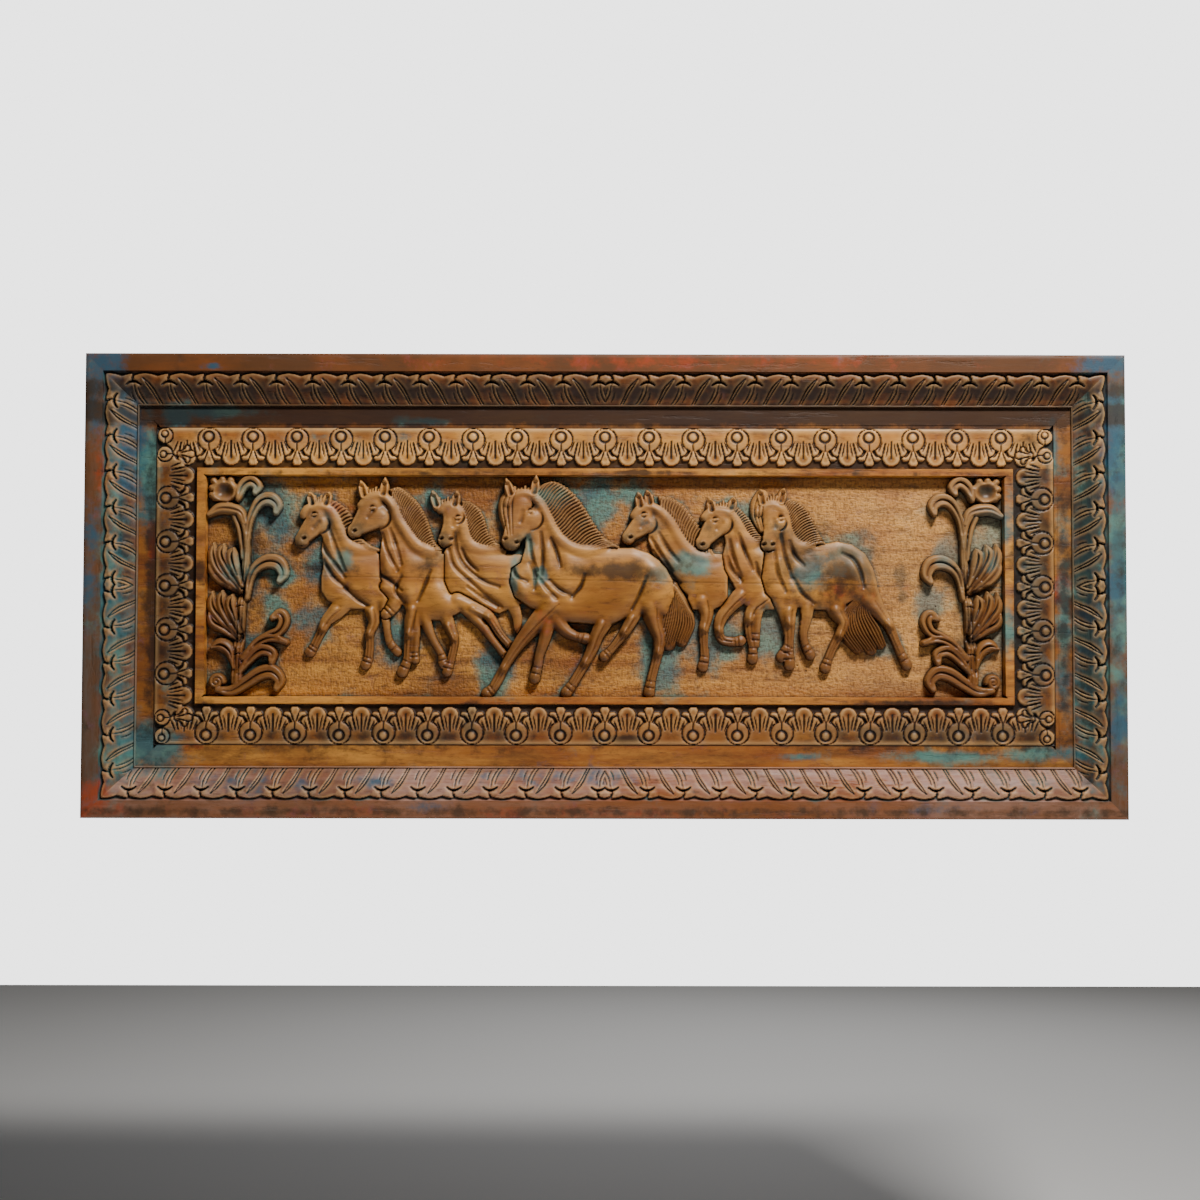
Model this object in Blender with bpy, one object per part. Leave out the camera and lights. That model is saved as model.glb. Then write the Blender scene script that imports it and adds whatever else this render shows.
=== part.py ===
"""A wall panel of carved wood: seven galloping horses in relief between two flowering scrolls, in a sunk field
with a carved border, held in a mitred frame with a leaf-carved moulding.

Metres, +Z up, front towards -Y. The back lies in the plane y = 0 and the origin is the middle of that back.
A depth is measured from the back plane towards the viewer.
"""
import math

import bmesh
import bpy
import numpy as np
from mathutils import Vector
from mathutils.geometry import delaunay_2d_cdt

# whole panel
PANEL_LENGTH = 1.830
PANEL_HEIGHT = 0.816
GAP = 0.0003

# frame: an outer flat, a carved slope and a thin lip round the board
RAIL_WIDTH = 0.090
RAIL_DEPTH = 0.064
OUTER_FLAT = 0.031
EDGE_BEVEL = 0.003
LIP_WIDTH = 0.003
LIP_DEPTH = 0.040
LIP_QUIRK = 0.002
LEAF_STEP = 0.004
LEAF_CUT = 0.0035
LEAVES_LONG = 28
LEAVES_SHORT = 12

# board: a tongue under the frame, a flat band, a carved border, a fillet and the sunk field
TONGUE_REACH = 0.0083
TONGUE_DEPTH = 0.022
BAND_SIDE = 0.030
BAND_TOP = 0.037
BAND_DEPTH = 0.034
BORDER_WIDTH = 0.073
BORDER_GROUND = 0.030
BORDER_RELIEF = 0.007
FILLET_SIDE = 0.015
FILLET_TOP = 0.011
FILLET_DEPTH = 0.037
FIELD_DEPTH = 0.016
SLOPE = 0.0015

# border repeats, counted from the middle of a side
DISC_RADIUS = 0.0195
DISC_STEP = 0.004
DISC_CLEAR = 0.003
CROWDED_DISC = 0.67
REPEATS_LONG = 10
REPEATS_SHORT = 3

# drawing squares laid over the sunk field, counted from its bottom left corner; they give the carving its
# places, and its heights above the field are in the same squares
SQUARES_LONG = 801.0
SQUARES_HIGH = 225.0
SQUARE_STEP = 1.25
MANE_LOCKS = 7
CORD_HALF = 2.4
CORD_CUT = 2.2
ROUNDING = 13
SCROLL_LEVELS = (4, 9.5)

# facets: how many corners the field has, and what a facet that misses the carving by so many squares counts for
FIELD_POINTS = 2800
MISS_SHARE = 0.35
MISS_CAP = 2.8
MISS_FINE = 0.14
SIDE_CAP = 1.6
PEAK_SHARE = 5

# Curves and heights
def curve(points, per_span=4):
    """Smooth curve through the points; any further columns are carried along."""
    p = np.asarray(points, float)
    if len(p) < 3:
        return p
    out = []
    for i in range(len(p) - 1):
        b, c = p[i], p[i + 1]
        a = p[i - 1] if i else 2 * b - c
        d = p[i + 2] if i + 2 < len(p) else 2 * c - b
        for k in range(per_span):
            t = k / per_span
            bend = (2 * a - 5 * b + 4 * c - d) * t**2 + (3 * b - a - 3 * c + d) * t**3
            out.append(0.5 * (2 * b + (c - a) * t + bend))
    out.append(p[-1])
    return np.array(out)


def at(points, t):
    """Place on a line of points at the fraction t of its length."""
    p = np.asarray(points, float)
    run = np.concatenate([[0], np.cumsum(np.hypot(*np.diff(p[:, :2], axis=0).T))])
    return np.array([np.interp(t * run[-1], run, p[:, k]) for k in range(p.shape[1])])


class Sheet:
    """Heights over the drawing squares; 0 where nothing is carved."""

    def __init__(self, step):
        self.step = step
        self.x = np.arange(0, SQUARES_LONG + step / 2, step)
        self.z = np.arange(0, SQUARES_HIGH + step / 2, step)
        self.height = np.zeros((len(self.z), len(self.x)))

    def window(self, points, reach):
        p = np.asarray(points, float)
        i0, i1 = np.searchsorted(self.x, (p[:, 0].min() - reach, p[:, 0].max() + reach))
        j0, j1 = np.searchsorted(self.z, (p[:, 1].min() - reach, p[:, 1].max() + reach))
        gx, gz = np.meshgrid(self.x[i0:i1], self.z[j0:j1])
        return (slice(j0, j1), slice(i0, i1)), gx, gz

    def raise_to(self, part, height):
        self.height[part] = np.maximum(self.height[part], height)

    def lay_over(self, other):
        """The other sheet's carving stands in front of what is here."""
        over = other.height > 0
        self.height[over] = other.height[over]

    def ridge(self, stations, foot, top, fullness=2.4):
        """A limb: stations are (x, z, half width); its edge stands at foot, its middle at top."""
        line = curve(stations)
        for a, b in zip(line, line[1:]):
            part, gx, gz = self.window([a, b], max(a[2], b[2]))
            if gx.size:
                t, away = along(gx, gz, a, b)
                half = a[2] + t * (b[2] - a[2])
                swell = np.clip(1 - (away / half)**fullness, 0, 1)**(1 / fullness)
                self.raise_to(part, np.where(away < half, foot + (top - foot) * swell, 0))

    def pillow(self, outline, foot, top, reach):
        """A body: raised inside the outline, rounded over near its edge."""
        part, gx, gz = self.window(outline, 1)
        edge = np.full(gx.shape, 1e9)
        hit = np.zeros(gx.shape, bool)
        for a, b in zip(outline, np.roll(outline, -1, 0)):
            edge = np.minimum(edge, along(gx, gz, a, b)[1])
            if a[1] != b[1]:
                cross = (a[1] > gz) != (b[1] > gz)
                hit ^= cross & (gx < (b[0] - a[0]) * (gz - a[1]) / (b[1] - a[1]) + a[0])
        swell = np.sqrt(1 - (1 - np.clip(edge / reach, 0, 1))**2)
        self.raise_to(part, np.where(hit, foot + (top - foot) * swell, 0))

    def groove(self, points, half, depth):
        line = curve(points)
        part, gx, gz = self.window(line, half)
        away = np.full(gx.shape, 1e9)
        for a, b in zip(line, line[1:]):
            away = np.minimum(away, along(gx, gz, a, b)[1])
        cut = depth * np.clip(1 - (away / half)**2, 0, 1)
        self.height[part] = np.where(self.height[part] > depth, self.height[part] - cut, self.height[part])


def along(gx, gz, a, b):
    dx, dz = b[0] - a[0], b[1] - a[1]
    t = np.clip(((gx - a[0]) * dx + (gz - a[1]) * dz) / max(dx * dx + dz * dz, 1e-12), 0, 1)
    return t, np.hypot(gx - a[0] - t * dx, gz - a[1] - t * dz)


# The horses from back to front, drawn in squares: levels are the heights of their outline and of their middle
HORSES = [
    dict(
        levels=(3, 8.5),
        face=[(111, 184, 8), (103, 172, 7.5), (94, 158, 6.5)],
        cheek=(113, 172, 10),
        ears=[((105, 193), (102.5, 206)), ((118, 193), (121, 206))],
        body=[(119, 193), (126, 182), (134, 168), (141, 156), (152, 148), (175, 145), (178, 96),
              (164, 89), (139, 89), (121, 98), (115, 108), (115, 121), (117, 133), (115, 148),
              (116, 160), (110, 176)],
        crest=[(116, 194), (124, 188), (131, 177), (136, 166), (141, 156), (149, 150), (162, 147)],
        mane=[(126, 197), (139, 188), (146, 178), (150, 166), (156, 156), (166, 150), (174, 147)],
        cords=[
            [(122, 176), (130, 154), (136, 134)],
            [(116, 156), (126, 134), (139, 121)],
            [(117, 136), (127, 120), (139, 110)],
        ],
        legs=[
            [(178, 96, 5), (178, 78, 4), (179, 61, 3.5), (186, 46, 4.4)],
            [(165, 100, 9), (166, 86, 6.5), (165, 75, 5), (164, 59, 3.6), (162, 44, 4), (160, 33, 5)],
            [(138, 100, 9), (130, 87, 6.5), (121, 76, 5.2), (116, 66, 3.8), (112, 57, 4.2),
             (105, 49, 5.2)],
        ],
    ),
    dict(
        levels=(3.5, 9),
        face=[(244, 189, 9), (242, 174, 6.5), (239, 159, 7)],
        cheek=(248, 184, 8.5),
        ears=[((231, 192), (227, 207)), ((249, 193), (251, 207))],
        body=[(254, 186), (259, 166), (268, 153), (284, 149), (314, 145), (318, 96), (294, 85),
              (279, 91), (264, 99), (249, 102), (238, 111), (238, 146), (244, 156), (242, 176)],
        crest=[(253, 185), (257, 166), (262, 156), (272, 150), (289, 149), (306, 146)],
        mane=[(257, 197), (265, 196), (274, 189), (279, 179), (282, 166), (290, 155), (301, 149)],
        cords=[
            [(246, 166), (249, 146), (257, 126), (274, 113), (291, 111)],
            [(242, 146), (249, 130), (264, 119), (279, 105), (294, 90)],
            [(252, 164), (258, 144), (270, 129), (290, 122)],
        ],
        legs=[
            [(297, 118, 6), (304, 96, 5), (310, 76, 4.2), (317, 63, 4.6)],
        ],
    ),
    dict(
        levels=(4.5, 10),
        face=[(164, 196, 9.5), (156, 180, 8.5), (146, 166, 7)],
        cheek=(170, 184, 12),
        ears=[((159, 202), (154, 217)), ((173, 203), (177, 219))],
        body=[(172, 202), (182, 191), (190, 177), (198, 161), (208, 150), (224, 145), (238, 145),
              (238, 118), (243, 106), (255, 96), (256, 87), (249, 83), (234, 78), (214, 78),
              (201, 92), (189, 97), (179, 106), (175, 121), (174, 144), (176, 161), (170, 181)],
        crest=[(173, 203), (179, 199), (187, 191), (194, 181), (200, 169), (206, 159), (214, 151),
               (226, 147)],
        mane=[(182, 211), (192, 212), (202, 205), (212, 196), (219, 184), (224, 171), (228, 158),
              (236, 148)],
        cords=[
            [(175, 168), (180, 148), (186, 128)],
            [(181, 169), (187, 151), (194, 134)],
            [(178, 136), (184, 120), (196, 108)],
        ],
        legs=[
            [(211, 84, 4.6), (211, 56, 3), (210, 39, 3.4)],
            [(252, 96, 7), (269, 90, 5.5), (282, 83, 4.5), (294, 64, 3.6), (307, 49, 4)],
            [(264, 90, 5), (278, 72, 4), (289, 56, 3.2), (302, 40, 4)],
            [(215, 84, 7), (218, 70, 5), (224, 56, 3.8), (234, 38, 4), (232, 26, 4.8)],
            [(235, 84, 6), (241, 70, 5), (246, 59, 3.8), (246, 44, 3.8), (242, 24, 4.8)],
            [(178, 108, 6), (191, 98, 5.5), (180, 87, 5)],
            [(204, 96, 9), (207, 75, 5.5), (204, 56, 3.8), (203, 42, 4), (197, 25, 5.2)],
        ],
    ),
    dict(
        levels=(3.5, 9),
        face=[(440, 184, 8), (432, 172, 7), (423, 161, 6.2)],
        cheek=(441, 178, 9),
        ears=[((436, 192), (434, 206)), ((446, 195), (442, 208))],
        body=[(449, 194), (457, 187), (466, 176), (474, 163), (484, 151), (499, 143), (522, 141),
              (524, 96), (509, 89), (484, 89), (484, 104), (470, 118), (459, 130), (449, 145),
              (444, 159), (444, 176)],
        crest=[(449, 194), (457, 189), (464, 181), (470, 172), (476, 162), (484, 152), (496, 144)],
        mane=[(454, 204), (466, 201), (479, 193), (486, 184), (494, 174), (499, 162), (508, 149)],
        cords=[
            [(445, 159), (453, 148), (462, 136)],
            [(451, 166), (458, 154), (467, 140)],
            [(457, 171), (465, 156), (475, 141)],
        ],
        legs=[
            [(493, 106, 9), (498, 92, 6.2), (496, 74, 4.8), (497, 56, 3.6), (499, 40, 4),
             (499, 29, 5)],
        ],
    ),
    dict(
        levels=(4.5, 10),
        face=[(516, 186, 9), (507, 171, 8), (500, 157, 7.5)],
        cheek=(516, 176, 10.5),
        ears=[((508, 188), (505, 200)), ((523, 189), (526, 200))],
        body=[(525, 185), (534, 176), (540, 164), (551, 155), (566, 149), (584, 144), (594, 134),
              (594, 92), (564, 89), (542, 93), (534, 106), (527, 119), (521, 130), (519, 144),
              (522, 156), (519, 171)],
        crest=[(525, 185), (534, 176), (538, 166), (544, 157), (551, 155), (560, 149)],
        mane=[(530, 194), (537, 188), (545, 179), (552, 169), (558, 160), (565, 152)],
        cords=[
            [(519, 156), (524, 138), (530, 121)],
            [(526, 159), (532, 142), (540, 126)],
            [(532, 168), (537, 152), (544, 136)],
        ],
        legs=[
            [(552, 90, 5), (551, 76, 3.8), (550, 47, 3.6)],
            [(570, 106, 10), (556, 93, 7), (542, 80, 5.4), (541, 64, 4), (545, 50, 3.9), (545, 36, 5)],
            [(548, 110, 10), (536, 102, 7.5), (524, 90, 6), (515, 78, 5), (514, 66, 4.2),
             (521, 58, 4.2), (532, 56, 5)],
        ],
    ),
    dict(
        levels=(5.5, 11.5),
        face=[(567, 189, 9), (566, 174, 6.8), (564, 156, 7.8), (565, 148, 5)],
        cheek=(568, 184, 9),
        ears=[((560, 195), (556, 208)), ((574, 196), (578, 209))],
        body=[(577, 191), (581, 174), (587, 161), (596, 152), (606, 150), (619, 155), (634, 158),
              (649, 155), (662, 146), (670, 131), (674, 116), (674, 100), (662, 95), (650, 99),
              (639, 93), (624, 89), (607, 90), (589, 93), (572, 96), (562, 106), (558, 121),
              (560, 136), (562, 151), (564, 176)],
        crest=[(576, 189), (580, 174), (586, 162), (594, 153), (606, 150)],
        mane=[(580, 199), (594, 196), (604, 186), (610, 176), (615, 166), (621, 156)],
        cords=[
            [(568, 140), (573, 122), (584, 106)],
            [(575, 161), (579, 141), (587, 122)],
            [(581, 166), (587, 148), (594, 134)],
            [(639, 146), (650, 140), (657, 126), (660, 112)],
        ],
        legs=[
            [(576, 98, 7), (580, 76, 4.8), (583, 53, 4), (579, 39, 5)],
            [(604, 94, 7), (602, 71, 4.6), (599, 56, 3.7), (606, 42, 4.8)],
            [(591, 94, 7), (589, 74, 5), (587, 54, 3.9), (587, 31, 5)],
            [(659, 108, 14), (672, 92, 8), (681, 81, 6), (689, 68, 5), (694, 56, 4), (700, 41, 4.1),
             (705, 31, 5.2)],
            [(632, 102, 13), (632, 80, 7), (636, 64, 5), (629, 51, 4), (624, 41, 4.1),
             (621, 31, 5.2)],
        ],
        tail=[
            [(656, 100), (644, 84), (647, 64), (658, 48)],
            [(658, 100), (651, 84), (656, 64), (665, 45)],
            [(660, 98), (659, 84), (665, 68), (672, 48)],
            [(662, 96), (668, 82), (674, 68), (679, 54)],
        ],
    ),
    dict(
        levels=(7, 14),
        face=[(316, 196, 11), (310, 176, 10), (306, 157, 9)],
        cheek=(326, 182, 11.5),
        ears=[((307, 204), (301, 219)), ((324, 205), (328, 221))],
        body=[(334, 201), (344, 188), (352, 171), (361, 155), (374, 149), (399, 151), (429, 151),
              (444, 146), (454, 139), (462, 130), (468, 119), (470, 104), (462, 84), (444, 83),
              (431, 88), (424, 82), (409, 75), (394, 74), (374, 76), (356, 77), (342, 83),
              (324, 92), (310, 102), (305, 116), (307, 130), (316, 136), (320, 151), (321, 166),
              (324, 186)],
        crest=[(322, 205), (331, 202), (339, 194), (346, 184), (352, 171), (358, 160), (365, 151),
               (376, 146)],
        mane=[(335, 214), (344, 216), (354, 213), (364, 207), (374, 196), (382, 184), (388, 171),
              (397, 161), (412, 151)],
        cords=[
            [(334, 169), (338, 148), (335, 124)],
            [(321, 155), (325, 138), (328, 123)],
            [(344, 161), (350, 140), (354, 121)],
            [(310, 127), (320, 128), (328, 122)],
            [(331, 122), (339, 112), (344, 98)],
            [(444, 121), (438, 104), (431, 89)],
        ],
        legs=[
            [(434, 92, 8), (428, 78, 5.5), (419, 63, 4.6), (409, 51, 4), (403, 44, 5)],
            [(403, 86, 11), (398, 71, 7.5), (391, 53, 5.6), (384, 41, 5), (374, 24, 4.3),
             (367, 11, 4.6), (360, 5, 5.4)],
            [(446, 106, 17), (446, 84, 11), (447, 68, 7), (451, 50, 5.6), (448, 36, 4.4),
             (446, 24, 4.2), (444, 13, 4.6), (440, 5, 5.4)],
            [(343, 76, 7), (339, 56, 5.8), (334, 41, 4.6), (331, 25, 4.3), (326, 15, 5.2)],
            [(344, 84, 9), (351, 74, 6.8), (359, 65, 5.4), (373, 61, 5.4)],
            [(362, 106, 15), (348, 88, 12), (332, 71, 8), (319, 56, 6.4), (311, 48, 5.6),
             (303, 37, 4.5), (297, 26, 4), (291, 14, 4.7), (282, 6, 5.6)],
        ],
        tail=[
            [(468, 112), (461, 96), (457, 78), (456, 50)],
            [(469, 112), (467, 96), (465, 76), (463, 47)],
            [(471, 111), (474, 94), (473, 74), (470, 46)],
            [(472, 109), (480, 92), (483, 74), (482, 52)],
        ],
    ),
]


def lock(sheet, line, half, foot, top):
    """One lock of hair: full at its root, narrower towards its tip."""
    last = len(line) - 1
    sheet.ridge([(x, z, half * (1 - 0.6 * i / last)) for i, (x, z) in enumerate(line)], foot, top, 1.5)


def carve_horse(sheet, horse):
    foot, top = horse["levels"]
    own = Sheet(sheet.step)
    carve_mane(own, horse, foot, top - 1.5)
    for leg in horse["legs"]:
        own.ridge(leg, 0.6 * foot, top - 1.7)
    own.pillow(np.array(horse["body"], float), foot, top, ROUNDING)
    own.ridge([(x, z, 4.5) for x, z in horse["crest"]], foot, top)
    for hair in horse.get("tail", []):
        lock(own, hair, 6, foot, top - 1)
    for cord in horse["cords"]:
        own.groove(cord, CORD_HALF, CORD_CUT)
    own.ridge(horse["face"], foot + 2, top + 1.6)
    x, z, radius = horse["cheek"]
    own.ridge([(x, z, radius), (x + 0.5, z - 0.5, radius)], foot + 2, top + 2.4)
    carve_forelock(own, horse, foot, top - 1)
    for root, tip in horse["ears"]:
        own.ridge([(*root, 4), (*tip, 1.2)], foot, top + 1)
    sheet.lay_over(own)


def carve_mane(sheet, horse, foot, top):
    """Locks swept back from the crest to the outer line of the mane, over a lower bed of hair."""
    bed = np.vstack([curve(horse["crest"], 2), curve(horse["mane"], 2)[::-1]])
    sheet.pillow(bed, foot, top - 2.5, 4)
    reach = math.hypot(*(at(horse["mane"], 1) - at(horse["mane"], 0)))
    for k in range(MANE_LOCKS):
        t = (k + 0.2) / MANE_LOCKS
        root = at(horse["crest"], t)
        tip = at(horse["mane"], min(t + 0.14, 1))
        middle = (root + tip) / 2 + np.array([0, 0.16 * math.hypot(*(tip - root))])
        lock(sheet, [tuple(root), tuple(middle), tuple(tip)], 0.62 * reach / MANE_LOCKS, foot, top + 1)


def carve_forelock(sheet, horse, foot, top):
    """A small tuft between the ears."""
    (left, left_z), (right, right_z) = horse["ears"][0][0], horse["ears"][1][0]
    for k in (1, 2, 3):
        x = left + (right - left) * k / 4
        z = (left_z + right_z) / 2
        sheet.ridge([(x, z - 3, 2.4), (x - 2 + k, z + 4, 1.4)], foot, top, 2)


# The flowering scroll at the left; the right one is its mirror
SCROLL = dict(
    stem=[(29, 20, 6.5), (30, 41, 6), (33, 66, 5.4), (35, 96, 5), (38, 126, 4.4), (40, 151, 3.8),
          (38, 171, 3.3), (30, 186, 2.8)],
    curls=[
        [(40, 151, 3), (42, 176, 3.6), (46, 191, 4.2), (52, 201, 4.6), (62, 204, 4.6),
         (69, 196, 4), (65, 185, 3)],
        [(43, 104, 3), (45, 124, 4.5), (52, 136, 5.5), (64, 142, 6.4), (75, 138, 6.2),
         (78, 127, 5), (71, 117, 3.6)],
        [(39, 41, 3), (52, 56, 5), (66, 64, 5.4), (77, 72, 5.2), (79, 83, 4.6), (72, 88, 4),
         (64, 80, 3)],
        [(34, 38, 2.6), (50, 51, 3.6), (66, 58, 3.8), (83, 55, 2.6)],
        [(32, 28, 3), (46, 44, 5), (58, 51, 5.2), (68, 46, 4.6), (64, 35, 3.4)],
        [(14, 8, 3), (25, 7, 5), (40, 15, 5.6), (54, 26, 6), (66, 28, 6), (74, 20, 5), (69, 8, 3.6)],
    ],
    leaves=[
        [(37, 122), (22, 140), (6, 158)],
        [(38, 130), (26, 144), (16, 155)],
        [(39, 136), (32, 146), (25, 151)],
        [(34, 90), (20, 104), (5, 114)],
        [(33, 78), (16, 92), (3, 94)],
        [(32, 68), (16, 80), (3, 78)],
        [(31, 51), (18, 62), (6, 60)],
    ],
    cup=[(5, 199), (3, 212), (7, 220), (13, 217), (17, 222), (22, 218), (27, 222), (31, 215),
         (30, 200), (18, 195)],
    petal=[(32, 202, 2.5), (36, 216, 4), (44, 221, 4.5), (51, 215, 3.6), (46, 208, 2.6)],
    calyx=[(3, 196), (17, 193), (33, 197), (30, 186), (22, 180), (10, 181), (4, 187)],
    volute=(11, 16, 9.5),
)


def mirrored(points):
    return [(SQUARES_LONG - p[0], *p[1:]) for p in points]


def carve_scroll(sheet, turn):
    foot, top = SCROLL_LEVELS
    own = Sheet(sheet.step)
    own.ridge(turn(SCROLL["stem"]), foot, top)
    for line in SCROLL["leaves"]:
        own.ridge(turn([(x, z, half) for (x, z), half in zip(line, (3.5, 6.5, 1.5))]), foot, top - 1, 1.6)
    for line in SCROLL["curls"]:
        own.ridge(turn(line), foot, top)
    own.pillow(np.array(turn(SCROLL["cup"]), float), foot, top, 5)
    own.ridge(turn(SCROLL["petal"]), foot, top)
    own.pillow(np.array(turn(SCROLL["calyx"]), float), foot, top + 0.5, 6)
    x, z, radius = SCROLL["volute"]
    turns = [(0.8 * i, (radius - 3) * (1 - i / 16)) for i in range(14)]
    own.ridge(turn([(x + r * math.cos(a), z + r * math.sin(a), 3) for a, r in turns]), foot, top)
    sheet.lay_over(own)


# Triangles fitted to the carving
def spread_of(height):
    """Lowest and highest height round each place, so that a steep side may lie a step to either side."""
    low = height.copy()
    high = height.copy()
    for rows in (-1, 0, 1):
        for cols in (-1, 0, 1):
            moved = np.roll(height, (rows, cols), (0, 1))
            low = np.minimum(low, moved)
            high = np.maximum(high, moved)
    return low, high


def fit_points(sheet, limit):
    """The columns and rows of the sheet that need a corner most, until the limit is reached."""
    height = sheet.height
    low, high = spread_of(height)
    rows, cols = height.shape
    chosen = {(i, j) for i in (0, cols - 1) for j in (0, rows - 1)}
    levels = (0, *range(12, rows - 12, rows // 5), rows - 1)
    chosen |= {(i, j) for i in range(12, cols - 12, cols // 16) for j in levels}
    while len(chosen) < limit:
        verts, _, faces, *_ = delaunay_2d_cdt([Vector(p) for p in sorted(chosen)], [], [], 0, 1e-6)
        found = [worst_place(np.array([verts[k] for k in face]), height, low, high) for face in faces]
        wanted = sorted((f for f in found if f), reverse=True)
        room = min(limit - len(chosen), max(30, len(wanted) // 8))
        fresh = {place for _, place in wanted[:room]} - chosen
        if not fresh:
            break
        chosen |= fresh
    return sorted(chosen)


def worst_place(corners, height, low, high):
    """Where in a triangle its flat face misses the carving most, with how much it misses in all."""
    i0, j0 = np.floor(corners.min(0)).astype(int)
    i1, j1 = np.ceil(corners.max(0)).astype(int) + 1
    gi, gj = np.meshgrid(np.arange(i0, i1), np.arange(j0, j1))
    (ax, ay), (bx, by), (cx, cy) = corners
    area = (bx - ax) * (cy - ay) - (cx - ax) * (by - ay)
    if abs(area) < 1e-9:
        return None
    u = ((bx - gi) * (cy - gj) - (cx - gi) * (by - gj)) / area
    v = ((cx - gi) * (ay - gj) - (ax - gi) * (cy - gj)) / area
    w = 1 - u - v
    hit = (u > -1e-6) & (v > -1e-6) & (w > -1e-6)
    a, b, c = (height[int(round(y)), int(round(x))] for x, y in corners)
    flat = u * a + v * b + w * c
    window = (slice(j0, j1), slice(i0, i1))
    miss = np.where(hit, np.abs(height[window] - flat), 0)
    outside = np.where(hit, np.maximum(0, np.maximum(low[window] - flat, flat - high[window])), 0)
    cost = MISS_SHARE * np.minimum(miss, MISS_CAP) + np.minimum(outside, SIDE_CAP)
    if cost.max() < MISS_FINE:
        return None
    k = int((cost + 0.01 * miss).argmax())
    return float(cost.sum() + PEAK_SHARE * cost.max()), (int(gi.flat[k]), int(gj.flat[k]))


# Solids
NEAR = 1e-6


class Front:
    """The points and lines of a front face in its own plane, each point with its depth."""

    def __init__(self):
        self.points = []
        self.depths = []
        self.edges = []

    def point(self, x, z, depth):
        self.points.append((x, z))
        self.depths.append(depth)
        return len(self.points) - 1

    def line(self, places, depth, closed=False):
        """A run of joined points; depth is one value or one for each point."""
        depths = depth if hasattr(depth, "__len__") else [depth] * len(places)
        ids = [self.point(x, z, d) for (x, z), d in zip(places, depths)]
        self.edges += list(zip(ids, ids[1:]))
        if closed:
            self.edges.append((ids[-1], ids[0]))

    def triangles(self):
        """Corners (x, z, depth) and faces; every corner has to be a point that was asked for."""
        flat = [Vector(p) for p in self.points]
        verts, _, faces, origins, *_ = delaunay_2d_cdt(flat, self.edges, [], 1, NEAR)
        crossings = [tuple(v) for v, o in zip(verts, origins) if not o]
        if crossings:
            raise ValueError(f"two lines of a front face cross at {crossings[:4]}")
        return [(v.x, v.y, self.depths[o[0]]) for v, o in zip(verts, origins)], [list(f) for f in faces]


def wood(name, colour, roughness):
    material = bpy.data.materials.new(name)
    material.use_nodes = True
    shader = material.node_tree.nodes["Principled BSDF"]
    shader.inputs["Base Color"].default_value = (*colour, 1)
    shader.inputs["Roughness"].default_value = roughness
    shader.inputs["Metallic"].default_value = 0
    return material


def make_mesh(name, verts, faces):
    """A closed mesh from corners (x, z, depth)."""
    mesh = bpy.data.meshes.new(name)
    bm = bmesh.new()
    corners = [bm.verts.new((x, -depth, z)) for x, z, depth in verts]
    for face in faces:
        bm.faces.new([corners[k] for k in face])
    bmesh.ops.recalc_face_normals(bm, faces=bm.faces)
    bmesh.ops.triangulate(bm, faces=bm.faces)
    bm.to_mesh(mesh)
    bm.free()
    return mesh


def place(name, mesh, material, parent, location=(0, 0, 0), turn=0):
    """A named piece on the panel, turned about the axis that points at the viewer."""
    piece = bpy.data.objects.new(name, mesh)
    bpy.context.scene.collection.objects.link(piece)
    piece.parent = parent
    piece.location = location
    piece.rotation_euler = (0, turn, 0)
    piece.material_slots[0].link = "OBJECT"
    piece.material_slots[0].material = material


def rectangle(half_length, half_height):
    return [(-half_length, -half_height), (half_length, -half_height), (half_length, half_height),
            (-half_length, half_height)]


# The board: half lengths and half heights of its frames, from the outside in
BOARD_HALF = (PANEL_LENGTH / 2 - RAIL_WIDTH - GAP, PANEL_HEIGHT / 2 - RAIL_WIDTH - GAP)
BORDER_HALF = (BOARD_HALF[0] - BAND_SIDE, BOARD_HALF[1] - BAND_TOP)
FILLET_HALF = (BORDER_HALF[0] - BORDER_WIDTH, BORDER_HALF[1] - BORDER_WIDTH)
FIELD_HALF = (FILLET_HALF[0] - FILLET_SIDE, FILLET_HALF[1] - FILLET_TOP)
DISC_IN = DISC_RADIUS + DISC_CLEAR
CORNER_IN = CROWDED_DISC * DISC_RADIUS + DISC_CLEAR
END_IN = DISC_IN + 2 * CROWDED_DISC * DISC_RADIUS + GAP


def border_repeats():
    """Each repeat: where it starts at the border's outer edge, its way along, its way in, its pitch and kind."""
    length, height = BORDER_HALF
    long_pitch = (length - CORNER_IN) / REPEATS_LONG
    short_pitch = (height - END_IN) / REPEATS_SHORT
    for side in (-1, 1):
        for k in range(-REPEATS_LONG, REPEATS_LONG + 1):
            kind = "corner" if abs(k) == REPEATS_LONG else "lone" if k == REPEATS_LONG - 1 else "plain"
            yield (k * long_pitch, side * height), (1, 0), (0, -side), long_pitch, kind
        for k in range(-REPEATS_SHORT, REPEATS_SHORT + 1):
            kind = "crowded" if k == -REPEATS_SHORT else "crowded end" if k == REPEATS_SHORT else "plain"
            yield (side * length, k * short_pitch), (0, 1), (-side, 0), short_pitch, kind


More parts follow.
